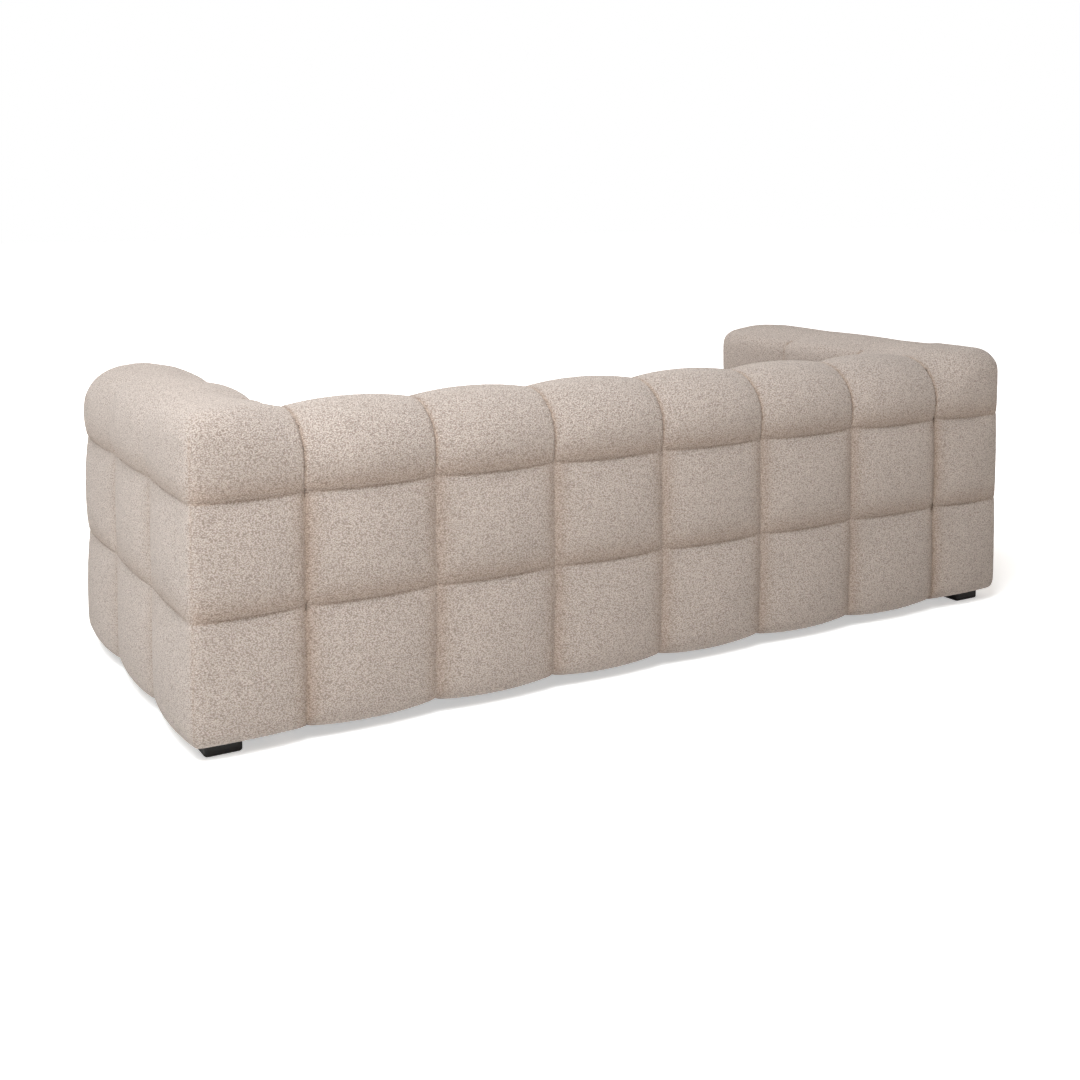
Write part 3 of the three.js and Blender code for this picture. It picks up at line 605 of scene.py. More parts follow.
def fill_with_cloth(piece, frames=CLOTH_FRAMES):
    mesh = piece.data
    before = vectors(mesh.vertices)
    flat, normal, upright, level = stitches_of(piece)
    near = np.minimum(upright, np.abs(level))
    grip = np.where(hidden_points(piece, flat, normal), 1.0, np.clip(1.2 - near / GRIP_REACH, 0, 1))
    group = piece.vertex_groups.new(name="stitches")
    for weight in np.unique(np.round(grip, 1)):
        if weight > 0:
            group.add(np.flatnonzero(np.round(grip, 1) == weight).tolist(), float(weight), "REPLACE")
    filling = piece.modifiers.new("filling", "CLOTH")
    cloth = filling.settings
    cloth.quality = 4
    cloth.mass = 0.3
    cloth.tension_stiffness = cloth.compression_stiffness = 12
    cloth.shear_stiffness = 4
    cloth.bending_stiffness = 0.3
    cloth.use_pressure = True
    cloth.uniform_pressure_force = PRESSURE
    cloth.vertex_group_mass = group.name
    cloth.effector_weights.gravity = 0
    filling.collision_settings.use_collision = False
    filling.point_cache.frame_start, filling.point_cache.frame_end = 1, frames
    for number in range(1, frames + 1):
        scene.frame_set(number)
    shown = piece.evaluated_get(bpy.context.evaluated_depsgraph_get())
    moved = vectors(shown.data.vertices) - before
    piece.modifiers.remove(filling)
    piece.vertex_groups.remove(group)
    scene.frame_set(1)
    far = np.linalg.norm(moved, axis=1)
    moved *= (np.minimum(far, CLOTH_CAP) / np.maximum(far, 1e-9))[:, None]
    set_vectors(mesh.vertices, before + moved)
    mesh.update()
    mean, most = (round(float(value) * 1000, 1) for value in (far.mean(), far.max()))
    print(piece.name, "moved", mean, "mm, at most", most)


for piece in (left_arm, back, seat):
    fill_with_cloth(piece)

# %% [markdown]
# ## Stitches and loops
# The mesh is divided once more, and then fine shapes are pressed in: the narrow groove where the thread
# pulls the cloth down, the dimple where two seams cross, the puckers beside a tight seam and the uneven
# surface of the loops. They come after the simulation, which would have smoothed them away. The same
# step writes a seam shade value on every point, 1 deep in a seam and 0 on open cloth. The finish uses it
# as painted shade: it darkens and warms the cloth in and beside the seams and over each level seam.

# %% Divide a cover once more


def apply_modifiers(piece):
    shown = piece.evaluated_get(bpy.context.evaluated_depsgraph_get())
    mesh = bpy.data.meshes.new_from_object(shown)
    piece.modifiers.clear()
    old, piece.data = piece.data, mesh
    bpy.data.meshes.remove(old)
    mesh.name = piece.name


def finer(piece):
    smooth = piece.modifiers.new("finer_cloth", "SUBSURF")
    smooth.levels = smooth.render_levels = 1
    apply_modifiers(piece)


# %% Press in the seams
BAND_GROOVE = 0.0035
ROW_GROOVE = 0.0022
JOINT_GROOVE = 0.0042
LEVEL_GROOVE = 0.0020
GROOVE_WIDTH = 0.0036
ROW_GROOVE_WIDTH = 0.008
JOINT_GROOVE_WIDTH = 0.010
DIMPLE = 0.0030
DIMPLE_WIDTH = 0.016
CORNER_GROOVE = 0.0009
CORNER_SEAM_TOP = 0.684
PUCKER = 0.0006
PUCKER_LENGTH = 0.019
PUCKER_REACH = 0.014
LOOP_RISE = 0.0004
LOOP_LENGTH = 0.016
# Reaches of the painted shade that darkens and warms the cloth beside the seams.
ROW_SHADE_REACH = 0.028
JOINT_SHADE_REACH = 0.014
BAND_LINE_SHADE_REACH = 0.005
BAND_SHADE_REACH = 0.020
OVER_LEVEL_SHADE_REACH = 0.040
UNDER_LEVEL_SHADE_REACH = 0.003


def gauss(distance, width):
    return np.exp(-(distance / width) ** 2)


def press_in(piece):
    mesh = piece.data
    p = vectors(mesh.vertices)
    flat, n, upright, level = stitches_of(piece)
    x, y, z = flat.T
    from_joint = np.abs(np.abs(x) - ARM_INNER_X)
    in_band = smooth_step(z, BAND_SEAM_Z - 0.005, BAND_SEAM_Z + 0.015)
    on_side = np.abs(n[:, 0]) > 0.7
    over_arm = (np.abs(x) > ARM_INNER_X + 0.03) & ((n[:, 2] > 0.5) | on_side) & (z > BAND_SEAM_Z)
    quiet = np.where(on_side, 0.5, 1.0)
    upright_quiet = quiet * (1 - over_arm * in_band)
    row_groove = ROW_GROOVE * gauss(upright, ROW_GROOVE_WIDTH)
    joint_groove = JOINT_GROOVE * gauss(from_joint, JOINT_GROOVE_WIDTH) * (n[:, 1] > 0.5)
    row_groove = np.maximum(row_groove, joint_groove)
    groove = blend(row_groove, BAND_GROOVE * gauss(upright, GROOVE_WIDTH), in_band) * upright_quiet
    groove = np.maximum(groove, LEVEL_GROOVE * quiet * gauss(level - 0.002, GROOVE_WIDTH))
    groove += DIMPLE * quiet * gauss(np.hypot(upright, level), DIMPLE_WIDTH)
    corner = np.hypot(END_X - np.abs(x), REAR_Y - np.abs(y))
    corner_seam = gauss(corner, GROOVE_WIDTH) * (z < CORNER_SEAM_TOP)
    groove += CORNER_GROOVE * corner_seam
    rise = np.array([noise.noise(Vector(co) / LOOP_LENGTH) for co in p])
    along = z + y * 0.7
    ripple = np.sin(along * 2 * math.pi / PUCKER_LENGTH + 2 * rise)
    pucker = PUCKER * ripple * gauss(upright, PUCKER_REACH) * in_band
    p += n * (LOOP_RISE * rise + pucker * upright_quiet - groove)[:, None]
    set_vectors(mesh.vertices, p)

    # Painted shade: the cloth is darkened and warmed in and beside each upright seam, along the rear corner
    # seam, and over each level seam where the cell hangs over it, where shade falls on the real cloth.
    row_seam_shade = np.maximum(0.7 * gauss(upright, ROW_SHADE_REACH), gauss(from_joint, JOINT_SHADE_REACH))
    band_seam_shade = 0.7 * gauss(upright, BAND_LINE_SHADE_REACH) + 0.2 * gauss(upright, BAND_SHADE_REACH)
    level_seam_shade = np.where(level > 0, gauss(level, OVER_LEVEL_SHADE_REACH), gauss(level, UNDER_LEVEL_SHADE_REACH))
    painted_seam_shade = np.maximum(blend(row_seam_shade, band_seam_shade, in_band) * upright_quiet, 0.8 * level_seam_shade * np.sqrt(quiet))
    painted_seam_shade = np.maximum(painted_seam_shade, 0.45 * corner_seam)
    shade = mesh.attributes.new("painted_seam_shade", "FLOAT", "POINT")
    shade.data.foreach_set("value", np.clip(painted_seam_shade, 0, 1).astype(np.float32))
    mesh.update()
    print(piece.name, len(mesh.polygons) * 2, "triangles")


for piece in (left_arm, back, seat):
    finer(piece)
    press_in(piece)

# %% [markdown]
# ## Room for the frame
# A real cover is a skin round foam and timber. The same pockets as in the CAD covers are cut out of the
# dense meshes, so that each cover is open underneath and fits over what it holds. The places come from
# the boxes of the foam and the boards, and the cut is a Boolean with the manifold solver, which keeps
# the values written on the points.

# %% Cut pockets out of a cover
FIT = 0.0004
PAST = 0.005
UNDER_Z = -0.02


def made_of(bm, name):
    """The bmesh as a new object in the scene."""
    mesh = bpy.data.meshes.new(name)
    bm.to_mesh(mesh)
    bm.free()
    piece = bpy.data.objects.new(name, mesh)
    scene.collection.objects.link(piece)
    return piece


def cut_pockets(piece, boxes):
    bm = bmesh.new()
    for low, high in boxes:
        made = bmesh.ops.create_cube(bm, size=1)["verts"]
        bmesh.ops.scale(bm, vec=Vector(high) - Vector(low), verts=made)
        bmesh.ops.translate(bm, vec=(Vector(low) + Vector(high)) / 2, verts=made)
    tool = made_of(bm, "pockets")
    cut = piece.modifiers.new("pockets", "BOOLEAN")
    cut.operation, cut.solver, cut.object = "DIFFERENCE", "MANIFOLD", tool
    apply_modifiers(piece)
    bpy.data.meshes.remove(tool.data)
    print(piece.name, sum(len(f.vertices) - 2 for f in piece.data.polygons), "triangles with its pockets")


# %% Make room in the arm, the back and the seat
arm_low, arm_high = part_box("left_arm_foam")
back_low, back_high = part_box("back_foam")
frame_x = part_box("left_arm_inner_panel")[0].x + PAST
frame_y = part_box("back_inner_panel")[0].y
hem_z = arm_low.z
top_z = arm_high.z + FIT
front_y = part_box("seat_front_rail")[0].y - FIT
cut_pockets(left_arm, [
    ((arm_low.x - FIT, front_y, UNDER_Z), (arm_high.x + FIT, arm_high.y + FIT, top_z)),
    ((ARM_INNER_X - PAST, front_y, UNDER_Z), (frame_x, frame_y, hem_z)),
    ((ARM_INNER_X - PAST, back_low.y - FIT, UNDER_Z), (frame_x, arm_high.y + FIT, top_z)),
])
cut_pockets(back, [
    ((-ARM_INNER_X - PAST, back_low.y - FIT, UNDER_Z), (ARM_INNER_X + PAST, back_high.y + FIT, top_z)),
    ((-ARM_INNER_X - PAST, BACK_FRONT_Y - PAST, UNDER_Z), (ARM_INNER_X + PAST, frame_y, hem_z)),
])
seat_low, seat_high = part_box("seat_foam")
cut_pockets(seat, [
    ((seat_low.x - FIT, front_y, UNDER_Z), (seat_high.x + FIT, seat_high.y + FIT, seat_high.z + FIT)),
    ((-ARM_INNER_X - PAST, front_y, UNDER_Z), (ARM_INNER_X + PAST, BACK_FRONT_Y + PAST, hem_z)),
])

# %% Mirror the arm and hand the covers over
bm = bmesh.new()
bm.from_mesh(left_arm.data)
bmesh.ops.scale(bm, vec=(-1, 1, 1), verts=bm.verts)
bmesh.ops.recalc_face_normals(bm, faces=bm.faces)
right_arm = made_of(bm, "right_arm_quilting")

CUT_ANGLE = math.radians(65)
COVERS = {left_arm: "left_arm_cover", right_arm: "right_arm_cover", back: "back_cover", seat: "seat_cover"}


def hand_over(piece, node_name):
    """The piece stands in for a CAD node, which it hides, and rides on the sofa."""
    piece.data.shade_smooth()
    piece.data.set_sharp_from_angle(angle=CUT_ANGLE)
    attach(piece, "root")
    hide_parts(node_name)


for piece, node_name in COVERS.items():
    hand_over(piece, node_name)

# %% [markdown]
# ## Foam and felt
# Under the cloth the arms, the back and the seat are cased in cut foam, and a felt keeps the springs from
# biting into it. Cut foam has straight walls but never sharp edges: handling rounds them. Each piece is a
# copy of its CAD solid. Its loose triangles are merged, flat faces are joined again, and only the edges
# that stick out are bevelled, because a corner that points inwards stays crisp on real foam too.

# %% Round the edges of a cut block
FOAM_ROUNDING = 0.004
FELT_ROUNDING = 0.0015
SHARP_ANGLE = math.radians(30)


def softened_copy(node_name, name, rounding):
    bm = bmesh.new()
    bm.from_mesh(bpy.data.objects[node_name].data)
    bmesh.ops.remove_doubles(bm, verts=bm.verts, dist=1e-5)
    bmesh.ops.dissolve_limit(bm, angle_limit=math.radians(2), verts=bm.verts, edges=bm.edges)
    outward = [edge for edge in bm.edges if edge.is_convex and edge.calc_face_angle(0) > SHARP_ANGLE]
    bmesh.ops.bevel(bm, geom=outward, offset=rounding, segments=3, profile=0.5, affect="EDGES", material=-1)
    return made_of(bm, name)


foams = []
for part in ("left_arm", "right_arm", "back", "seat"):
    block = softened_copy(part + "_foam", part + "_padding_foam", FOAM_ROUNDING)
    hand_over(block, part + "_foam")
    foams.append(block)
felt = softened_copy("spring_felt", "needled_felt_pad", FELT_ROUNDING)
hand_over(felt, "spring_felt")
print("foam faces:", [len(block.data.polygons) for block in foams])

# %% [markdown]
# ## Dust cover
# The underside is closed with a thin black non-woven cloth, stretched over the rails and stapled every
# few centimetres. It sags a little in each bay between the rails and puckers between its staples. Cloth
# that is pulled tight hardly moves, so a grid whose points are lowered by a formula gives the same shape
# as a simulation would. Its corners are cut away round the feet.

# %% Measure the dust cover and the bays over it
DUST_THICKNESS = 0.0006
DUST_SAG = 0.004
FOOT_CLEARANCE = 0.006
STAPLE_SPACING = 0.060
EDGE_PUCKER = 0.0004
EDGE_REACH = 0.02
CLOTH_LINES = (130, 50)

cloth_low, cloth_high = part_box("dust_cover")
cloth_size = (cloth_high.x - cloth_low.x, cloth_high.y - cloth_low.y)
notch_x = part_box("foot_rear_left")[0].x - FOOT_CLEARANCE
notch_rear_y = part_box("foot_rear_left")[0].y - FOOT_CLEARANCE
notch_front_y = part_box("foot_front_left")[1].y + FOOT_CLEARANCE
crossing = ("seat_right_rail", "seat_stretcher_1", "seat_stretcher_2", "seat_left_rail")
bays = [(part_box(one)[1].x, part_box(other)[0].x) for one, other in zip(crossing, crossing[1:])]
bay_ys = (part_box("seat_front_rail")[1].y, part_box("seat_rear_rail")[0].y)
print("bays between the rails, in x:", [[round(edge, 3) for edge in bay] for bay in bays])

# %% Cut and stretch the dust cover


def hump(value, low, high):
    """0 at the two ends of a bay and 1 in its middle."""
    share = min(max((value - low) / (high - low), 0), 1)
    return 4 * share * (1 - share)


bm = bmesh.new()
bmesh.ops.create_grid(bm, x_segments=CLOTH_LINES[0], y_segments=CLOTH_LINES[1], size=0.5)
bmesh.ops.scale(bm, vec=(*cloth_size, 1), verts=bm.verts)
middle = (cloth_low + cloth_high) / 2
bmesh.ops.translate(bm, vec=(middle.x, middle.y, cloth_high.z - DUST_THICKNESS / 2), verts=bm.verts)
for place, direction in (((notch_x, 0, 0), (1, 0, 0)), ((-notch_x, 0, 0), (1, 0, 0)),
                         ((0, notch_rear_y, 0), (0, 1, 0)), ((0, notch_front_y, 0), (0, 1, 0))):
    everything = bm.verts[:] + bm.edges[:] + bm.faces[:]
    bmesh.ops.bisect_plane(bm, geom=everything, plane_co=place, plane_no=direction)
middles = [(face, face.calc_center_median()) for face in bm.faces]
corners = [face for face, at in middles if abs(at.x) > notch_x and not notch_front_y < at.y < notch_rear_y]
bmesh.ops.delete(bm, geom=corners, context="FACES")
dust_area = sum(face.calc_area() for face in bm.faces)
for vert in bm.verts:
    x, y, z = vert.co
    sag = max(hump(x, *bay) for bay in bays) * hump(y, *bay_ys)
    from_edge = min(x - cloth_low.x, cloth_high.x - x, y - cloth_low.y, cloth_high.y - y)
    wave = 0.5 - 0.5 * math.cos((x + y) * 2 * math.pi / STAPLE_SPACING)
    pucker = EDGE_PUCKER * wave * math.exp(-from_edge / EDGE_REACH)
    vert.co.z -= DUST_SAG * sag + pucker + DUST_THICKNESS / 2
bmesh.ops.recalc_face_normals(bm, faces=bm.faces)
bmesh.ops.solidify(bm, geom=bm.faces[:], thickness=DUST_THICKNESS)
bmesh.ops.recalc_face_normals(bm, faces=bm.faces)
dust_cloth = made_of(bm, "stapled_dust_cloth")
hand_over(dust_cloth, "dust_cover")
print("dust cover cut to", [round(side, 3) for side in cloth_size], "m, area", round(dust_area, 4), "m2")

# %% [markdown]
# ## Staples
# Only the crowns of the staples show: flat bars of wire, ten millimetres long, in a row near the edge of
# the dust cover. All the bars are made in a single mesh and bevelled together, because a hundred separate
# objects would be slow to handle and no easier to change.

# %% Drive the staples
CROWN = Vector((0.010, 0.0012, 0.0008))
STAPLE_INSET = 0.009
CROWN_BEVEL = 0.0002


def evenly(low, high):
    low, high = low + STAPLE_INSET, high - STAPLE_INSET
    return np.linspace(low, high, int((high - low) / STAPLE_SPACING) + 1)


rows_y = (cloth_low.y + STAPLE_INSET, cloth_high.y - STAPLE_INSET)
rows_x = (cloth_low.x + STAPLE_INSET, cloth_high.x - STAPLE_INSET)
crowns = [(x, y, CROWN) for y in rows_y for x in evenly(-notch_x, notch_x)]
crowns += [(x, y, CROWN.yxz) for x in rows_x for y in evenly(notch_front_y, notch_rear_y)]
crown_z = cloth_high.z - 1.5 * DUST_THICKNESS - EDGE_PUCKER - CROWN.z / 2
bm = bmesh.new()
for x, y, size in crowns:
    made = bmesh.ops.create_cube(bm, size=1)["verts"]
    bmesh.ops.scale(bm, vec=size, verts=made)
    bmesh.ops.translate(bm, vec=(x, y, crown_z), verts=made)
bmesh.ops.bevel(
    bm, geom=bm.edges[:], offset=CROWN_BEVEL, segments=1, profile=0.5, affect="EDGES", material=-1)
staples = made_of(bm, "dust_cloth_staples")
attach(staples, "root")
print(len(crowns), "staples")

# %% [markdown]
# ## Boucle
# Boucle yarn is spun with small loops, so the cloth looks like packed curls a few millimetres across,
# pale on top and dark between. An image would repeat and stretch; a procedural pattern doesn't. Cells of
# a Voronoi pattern, bent by noise, stand for the loops, and finer cells add the twist of the yarn. The
# height drives both the bump and the colour: the gaps between loops are painted dark as painted shade,
# and the value written beside the seams darkens and warms the cloth there as painted shade.

# %% Helpers for materials
# A node's id_data is the node tree that it belongs to.


def nodes_of(name):
    material = bpy.data.materials.new(name)
    material.use_nodes = True
    return material, material.node_tree, material.node_tree.nodes["Principled BSDF"]


def set_entries(made, values):
    for entry, value in values.items():
        made.inputs[entry].default_value = value


def node(tree, kind, **settings):
    made = tree.nodes.new(kind)
    for key, value in settings.items():
        if key in made.inputs:
            made.inputs[key].default_value = value
        else:
            setattr(made, key, value)
    return made


def link(source, output, target, entry):
    source.id_data.links.new(source.outputs[output], target.inputs[entry])


def pattern(place, kind, **settings):
    """A noise or Voronoi pattern at a given place."""
    made = node(place.id_data, "ShaderNodeTex" + kind, **settings)
    link(place, 0, made, "Vector")
    return made


def ramp(source, output, stops):
    """Colours for the values of a pattern; a single number stands for a grey."""
    made = source.id_data.nodes.new("ShaderNodeValToRGB")
    elements = made.color_ramp.elements
    while len(elements) < len(stops):
        elements.new(0.5)
    for element, (position, colour) in zip(elements, stops):
        element.position = position
        element.color = (*((colour,) * 3 if isinstance(colour, float) else colour), 1)
    link(source, output, made, "Fac")
    return made


def multiplied(first, first_output, second, second_output):
    product = node(first.id_data, "ShaderNodeMix", data_type="RGBA", blend_type="MULTIPLY")
    product.inputs["Factor"].default_value = 1.0
    link(first, first_output, product, 6)
    link(second, second_output, product, 7)
    return product


def stretched_place(tree, scale=(1.0, 1.0, 1.0)):
    """Object coordinates, squeezed or stretched along the axes."""
    place = node(tree, "ShaderNodeTexCoord")
    mapping = node(tree, "ShaderNodeMapping", Scale=scale)
    link(place, "Object", mapping, "Vector")
    return mapping


def uneven(place, scale, low, high):
    """Slow, cloudy changes of tone between two greys."""
    cloud = pattern(place, "Noise", Scale=scale, Detail=3.0)
    return ramp(cloud, "Fac", [(0.3, low), (0.7, high)])


def bumped(shader, source, output, strength, distance, invert=False):
    bump = node(shader.id_data, "ShaderNodeBump", Strength=strength, Distance=distance, invert=invert)
    link(source, output, bump, "Height")
    link(bump, "Normal", shader, "Normal")


# %% Mix the boucle
boucle, tree, shader = nodes_of("looped_boucle")
set_entries(shader, {
    "Roughness": 0.92, "Specular IOR Level": 0.2, "Sheen Weight": 0.2, "Sheen Roughness": 0.5})
place = stretched_place(tree, (1.0, 1.0, 1.5))
bend = pattern(place, "Noise", Scale=220.0, Detail=1.0)
centre = node(tree, "ShaderNodeVectorMath", operation="SUBTRACT")
centre.inputs[1].default_value = (0.5, 0.5, 0.5)
amount = node(tree, "ShaderNodeVectorMath", operation="SCALE", Scale=0.0050)
bent = node(tree, "ShaderNodeVectorMath", operation="ADD")
link(bend, "Color", centre, 0)
link(centre, "Vector", amount, 0)
link(place, 0, bent, 0)
link(amount, "Vector", bent, 1)
loops = pattern(bent, "Voronoi", feature="SMOOTH_F1", Scale=285.0, Smoothness=0.25)
twist = pattern(bent, "Voronoi", feature="F1", Scale=600.0)
height = node(tree, "ShaderNodeMath", operation="MULTIPLY_ADD")
height.inputs[1].default_value = 0.35
link(twist, "Distance", height, 0)
link(loops, "Distance", height, 2)
# Tone of the loops with painted shade: the low gaps between loops are painted dark.
loop_tone_and_gap_shade = ramp(height, "Value", [
    (0.15, (0.73, 0.63, 0.562)), (0.50, (0.585, 0.49, 0.427)), (0.90, (0.315, 0.245, 0.203))])
small_clouds, large_clouds = uneven(place, 25.0, 0.97, 1.0), uneven(place, 4.0, 0.96, 1.0)
patches = multiplied(small_clouds, "Color", large_clouds, "Color")
toned = multiplied(loop_tone_and_gap_shade, "Color", patches, 2)
# Painted shade: the value written beside the seams darkens and warms the cloth there.
painted_seam_shade = node(tree, "ShaderNodeAttribute", attribute_name="painted_seam_shade")
seam_shade_tone = ramp(painted_seam_shade, "Fac", [(0.0, 1.0), (1.0, (0.82, 0.74, 0.67))])
seam_shaded = multiplied(toned, 2, seam_shade_tone, "Color")
link(seam_shaded, 2, shader, "Base Color")
bumped(shader, height, "Value", 1.0, 0.0030, invert=True)


def give(piece, finish):
    piece.data.materials.clear()
    piece.data.materials.append(finish)


for piece in COVERS:
    give(piece, boucle)
print("boucle on", len(COVERS), "covers")

# %% [markdown]
# ## Beech
# The frame is planed beech, which is pale and even, with long faint growth lines and the short brown
# flecks that tell it from other timbers. Grain runs along a board, so there is one finish for each axis
# and each board takes the one of its longest side. Noise that is stretched along the grain gives the
# lines, and a finer stretched pattern gives the flecks.

# %% Plane the beech
GRAIN_STRETCH = 0.06


def beech_along(axis):
    material, tree, shader = nodes_of("planed_beech_" + "xyz"[axis])
    scale = [1.0, 1.0, 1.0]
    scale[axis] = GRAIN_STRETCH
    place = stretched_place(tree, scale)
    growth = pattern(place, "Noise", Scale=55.0, Detail=4.0, Distortion=0.4)
    wood = ramp(growth, "Fac", [
        (0.30, (0.56, 0.38, 0.23)), (0.50, (0.64, 0.46, 0.29)), (0.70, (0.70, 0.52, 0.345))])
    fleck = pattern(place, "Noise", Scale=620.0, Detail=1.0)
    fleck_tone = ramp(fleck, "Fac", [(0.30, (0.62, 0.50, 0.40)), (0.40, 1.0)])
    flecked = multiplied(wood, "Color", fleck_tone, "Color")
    boards = multiplied(flecked, 2, uneven(place, 3.0, 0.86, 1.0), "Color")
    link(boards, 2, shader, "Base Color")
    link(ramp(growth, "Fac", [(0.0, 0.62), (1.0, 0.48)]), "Color", shader, "Roughness")
    bumped(shader, fleck, "Fac", 0.4, 0.0003)
    return material


beech = [beech_along(axis) for axis in range(3)]
print("beech:", [material.name for material in beech])

# %% [markdown]
# ## Hardboard, foam, felt and dust cloth
# Hardboard is pressed brown fibre, foam is a crust of tiny bubbles, felt is a tangle of grey and dark
# fibres, and the dust cloth is spun black fibre with rows of small weld points. Each is one noise or
# Voronoi pattern at the size of the real fibres or bubbles, used for tone and for bump together, under
# slow clouds of tone. One function makes all four, because only their patterns and colours differ.

# %% Fibres and bubbles


def fibrous(name, kind, output, stops, clouds, shine, bump, stretch=(1.0, 1.0, 1.0), **settings):
    material, tree, shader = nodes_of(name)
    place = stretched_place(tree, stretch)
    fibre = pattern(place, kind, **settings)
    tone = ramp(fibre, output, stops)
    clouded = multiplied(tone, "Color", uneven(place, *clouds), "Color")
    link(clouded, 2, shader, "Base Color")
    set_entries(shader, {"Roughness": shine[0], "Specular IOR Level": shine[1]})
    bumped(shader, fibre, output, *bump)
    return material


hardboard = fibrous(
    "pressed_hardboard", "Noise", "Fac",
    [(0.30, (0.12, 0.070, 0.036)), (0.50, (0.20, 0.125, 0.066)), (0.72, (0.30, 0.20, 0.115))],
    (6.0, 0.84, 1.0), (0.58, 0.5), (0.5, 0.0004), Scale=380.0, Detail=6.0, Distortion=1.2)
foam_finish = fibrous(
    "open_cell_foam", "Voronoi", "Distance",
    [(0.10, (0.60, 0.52, 0.34)), (0.55, (0.80, 0.74, 0.56)), (1.0, (0.86, 0.81, 0.66))],
    (9.0, 0.88, 1.0), (0.95, 0.2), (0.7, 0.0008), feature="F1", Scale=750.0)
felt_finish = fibrous(
    "needled_felt", "Noise", "Fac",
    [(0.32, (0.10, 0.105, 0.115)), (0.50, (0.24, 0.245, 0.25)), (0.70, (0.46, 0.455, 0.44))],
    (14.0, 0.82, 1.0), (0.96, 0.15), (0.8, 0.0010), (1.0, 0.35, 1.0), Scale=420.0, Detail=6.0, Distortion=2.5)
dust_finish = fibrous(
    "spun_dust_cloth", "Voronoi", "Distance",
    [(0.20, (0.006, 0.006, 0.007)), (0.45, (0.018, 0.018, 0.019)), (0.8, (0.026, 0.026, 0.027))],
    (160.0, 0.70, 1.0), (0.85, 0.5), (0.6, 0.0004), feature="F1", Scale=420.0, Randomness=0.0)
print("fibrous finishes:", hardboard.name, foam_finish.name, felt_finish.name, dust_finish.name)

# %% [markdown]
# ## Steel and feet
# Spring wire is drawn through a die and stays bright, with a dull film here and there and fine scratches;
# screws and staples are plated, so they are paler and slightly blue. The feet are near-black mouldings
# with a fine grain, worn a little grey where they touch the floor. The wear follows the height above the
# floor, which Object coordinates give directly.

# %% Draw the steel


def steel(name, dark, pale, low_rough, high_rough):
    material, tree, shader = nodes_of(name)
    shader.inputs["Metallic"].default_value = 1.0
    place = stretched_place(tree)
    film = pattern(place, "Noise", Scale=90.0, Detail=5.0)
    link(ramp(film, "Fac", [(0.3, dark), (0.7, pale)]), "Color", shader, "Base Color")
    dullness = ramp(film, "Fac", [(0.3, high_rough), (0.7, low_rough)])
    link(dullness, "Color", shader, "Roughness")
    scratch = pattern(place, "Noise", Scale=1500.0, Detail=2.0)
    bumped(shader, scratch, "Fac", 0.25, 0.0001)
    return material


spring_wire = steel("drawn_spring_wire", (0.36, 0.36, 0.37), (0.58, 0.58, 0.59), 0.24, 0.45)
zinc = steel("zinc_plating", (0.50, 0.52, 0.55), (0.72, 0.74, 0.77), 0.28, 0.42)
print("steels:", spring_wire.name, zinc.name)

# %% Mould the feet
WORN_HEIGHT = 0.006
WORN_SHARE = 0.45
foot_finish, tree, shader = nodes_of("moulded_foot_black")
place = stretched_place(tree)
grit = pattern(place, "Noise", Scale=900.0, Detail=3.0)
moulded = ramp(grit, "Fac", [(0.35, (0.0060, 0.0045, 0.0040)), (0.65, (0.0120, 0.0090, 0.0080))])
parts = node(tree, "ShaderNodeSeparateXYZ")
link(place, 0, parts, 0)
near_floor = node(tree, "ShaderNodeMapRange", interpolation_type="SMOOTHSTEP")
set_entries(near_floor, {"From Min": 0.0, "From Max": WORN_HEIGHT, "To Min": WORN_SHARE, "To Max": 0.0})
link(parts, "Z", near_floor, "Value")
worn = node(tree, "ShaderNodeMix", data_type="RGBA")
worn.inputs[7].default_value = (0.055, 0.050, 0.047, 1)
link(near_floor, "Result", worn, 0)
link(moulded, "Color", worn, 6)
link(worn, 2, shader, "Base Color")
link(ramp(grit, "Fac", [(0.3, 0.42), (0.7, 0.60)]), "Color", shader, "Roughness")
shader.inputs["Specular IOR Level"].default_value = 0.35
bumped(shader, grit, "Fac", 0.3, 0.0003)
print("feet worn up to", WORN_HEIGHT * 1000, "mm")

# %% Finish every part
FINISHES = {
    "boucle": boucle, "foam": foam_finish, "felt": felt_finish, "dust_cloth": dust_finish,
    "hardboard": hardboard, "spring_steel": spring_wire, "screw_steel": zinc, "black_foot": foot_finish,
}


for row in frame["record"]["subparts"]:
    low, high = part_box(row["node"])
    longest = int(np.argmax(high - low))
    for material_slot in bpy.data.objects[row["node"]].material_slots:
        material_slot.material = FINISHES.get(row["material_slot"], beech[longest])
for piece in foams:
    give(piece, foam_finish)
for piece, finish in ((felt, felt_finish), (dust_cloth, dust_finish), (staples, zinc)):
    give(piece, finish)

# %% [markdown]
# ## Floor and light
# The photograph is a studio shot: a white floor that fades into a white wall, with soft light from above
# and from the left. Large softboxes give that light. The floor glows far from the sofa, so that it meets
# the white backdrop without a line, and looks a little paler than it lights the sofa, which keeps its
# shadow faint and the underside of each cell dark.

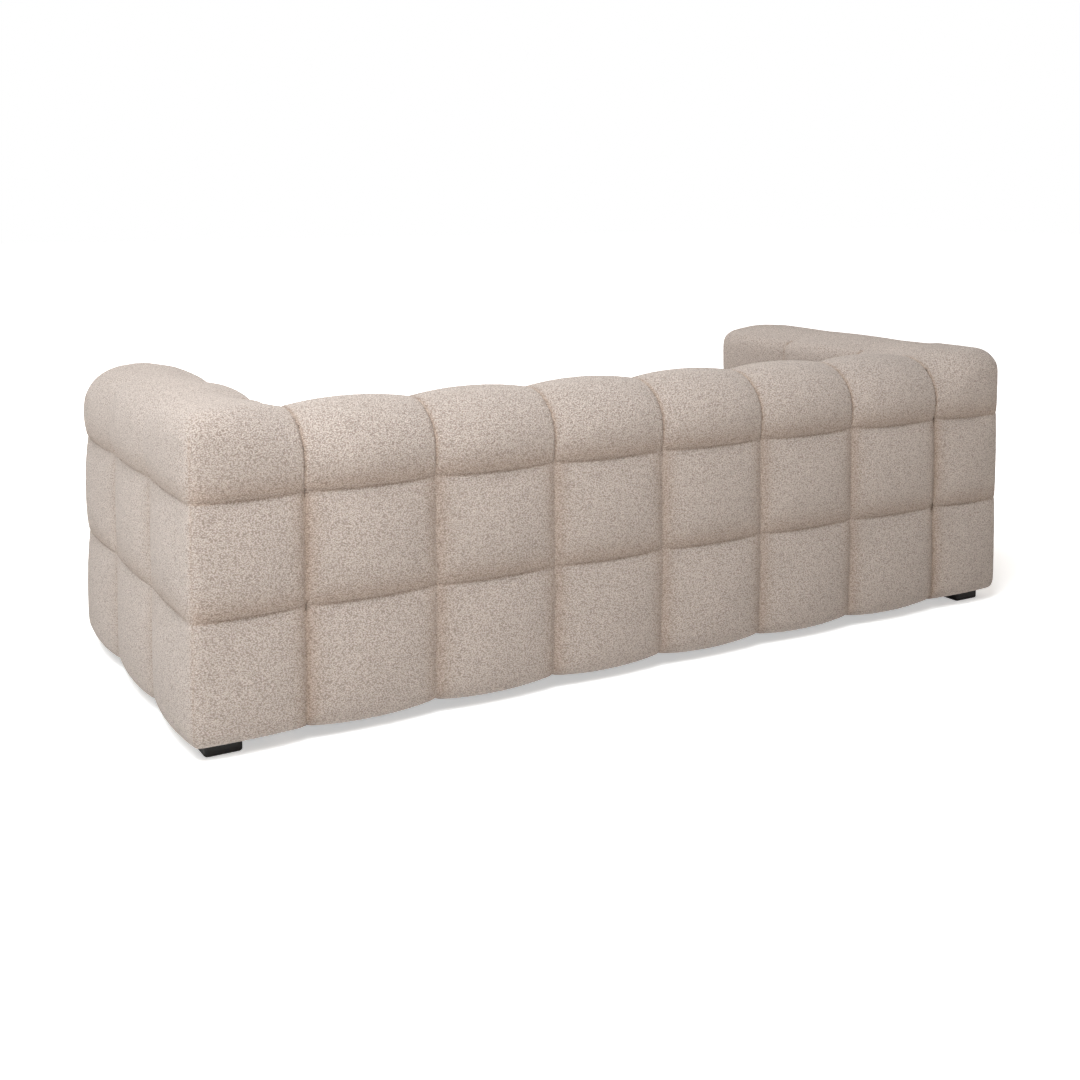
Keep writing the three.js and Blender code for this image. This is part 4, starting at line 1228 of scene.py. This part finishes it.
# %% Lay the floor
FLOOR_REACH = 30
FLOOR_LIFT = 0.40
bm = bmesh.new()
bmesh.ops.create_grid(bm, x_segments=1, y_segments=1, size=FLOOR_REACH)
floor = made_of(bm, "studio_floor")
floor_paint, tree, shader = nodes_of("studio_floor")
set_entries(shader, {"Base Color": (0.93, 0.925, 0.91, 1), "Roughness": 0.9, "Emission Color": (1, 1, 1, 1)})
place = node(tree, "ShaderNodeTexCoord")
reach = node(tree, "ShaderNodeVectorMath", operation="LENGTH")
glow = node(tree, "ShaderNodeMapRange", interpolation_type="SMOOTHSTEP")
set_entries(glow, {"From Min": 1.2, "From Max": 3.2, "To Min": 0.10, "To Max": 0.85})
link(place, "Object", reach, 0)
link(reach, "Value", glow, "Value")
seen = node(tree, "ShaderNodeLightPath")
lit = node(tree, "ShaderNodeMath", operation="MULTIPLY_ADD")
lit.inputs[1].default_value = FLOOR_LIFT
link(seen, "Is Camera Ray", lit, 0)
link(glow, "Result", lit, 2)
link(lit, "Value", shader, "Emission Strength")
give(floor, floor_paint)
print("floor:", 2 * FLOOR_REACH, "m across")

# %% Light the room
world = bpy.data.worlds.new("studio")
world.use_nodes = True
tree = world.node_tree
around = tree.nodes["Background"]
set_entries(around, {"Color": (1.0, 0.88, 0.77, 1), "Strength": 0.22})
backdrop = node(tree, "ShaderNodeBackground", Color=(1, 1, 1, 1), Strength=1.0)
seen = node(tree, "ShaderNodeLightPath")
either = node(tree, "ShaderNodeMixShader")
link(seen, "Is Camera Ray", either, 0)
link(around, 0, either, 1)
link(backdrop, 0, either, 2)
link(either, 0, tree.nodes["World Output"], "Surface")
scene.world = world


def softbox(name, place, aim, size, watts, colour):
    light = bpy.data.lights.new(name, "AREA")
    light.shape = "RECTANGLE"
    light.size, light.size_y = size
    light.energy = watts
    light.color = colour
    lamp = bpy.data.objects.new(name, light)
    scene.collection.objects.link(lamp)
    lamp.location = place
    lamp.rotation_euler = (Vector(aim) - Vector(place)).to_track_quat("-Z", "Y").to_euler()


softbox("overhead_softbox", (2.2, 1.6, 4.0), (0.6, 0.0, 0.4), (3.0, 2.5), 310, (0.91, 0.96, 1.0))
softbox("front_softbox", (-1.0, -4.0, 2.6), (0.0, 0.0, 0.4), (3.0, 2.5), 90, (1.0, 0.97, 0.93))
softbox("side_softbox", (4.8, 0.8, 2.2), (0.8, 0.0, 0.4), (2.0, 2.0), 16, (0.70, 0.90, 1.0))
scene.view_settings.view_transform = "Standard"
print("lights:", [light.name for light in bpy.data.lights])
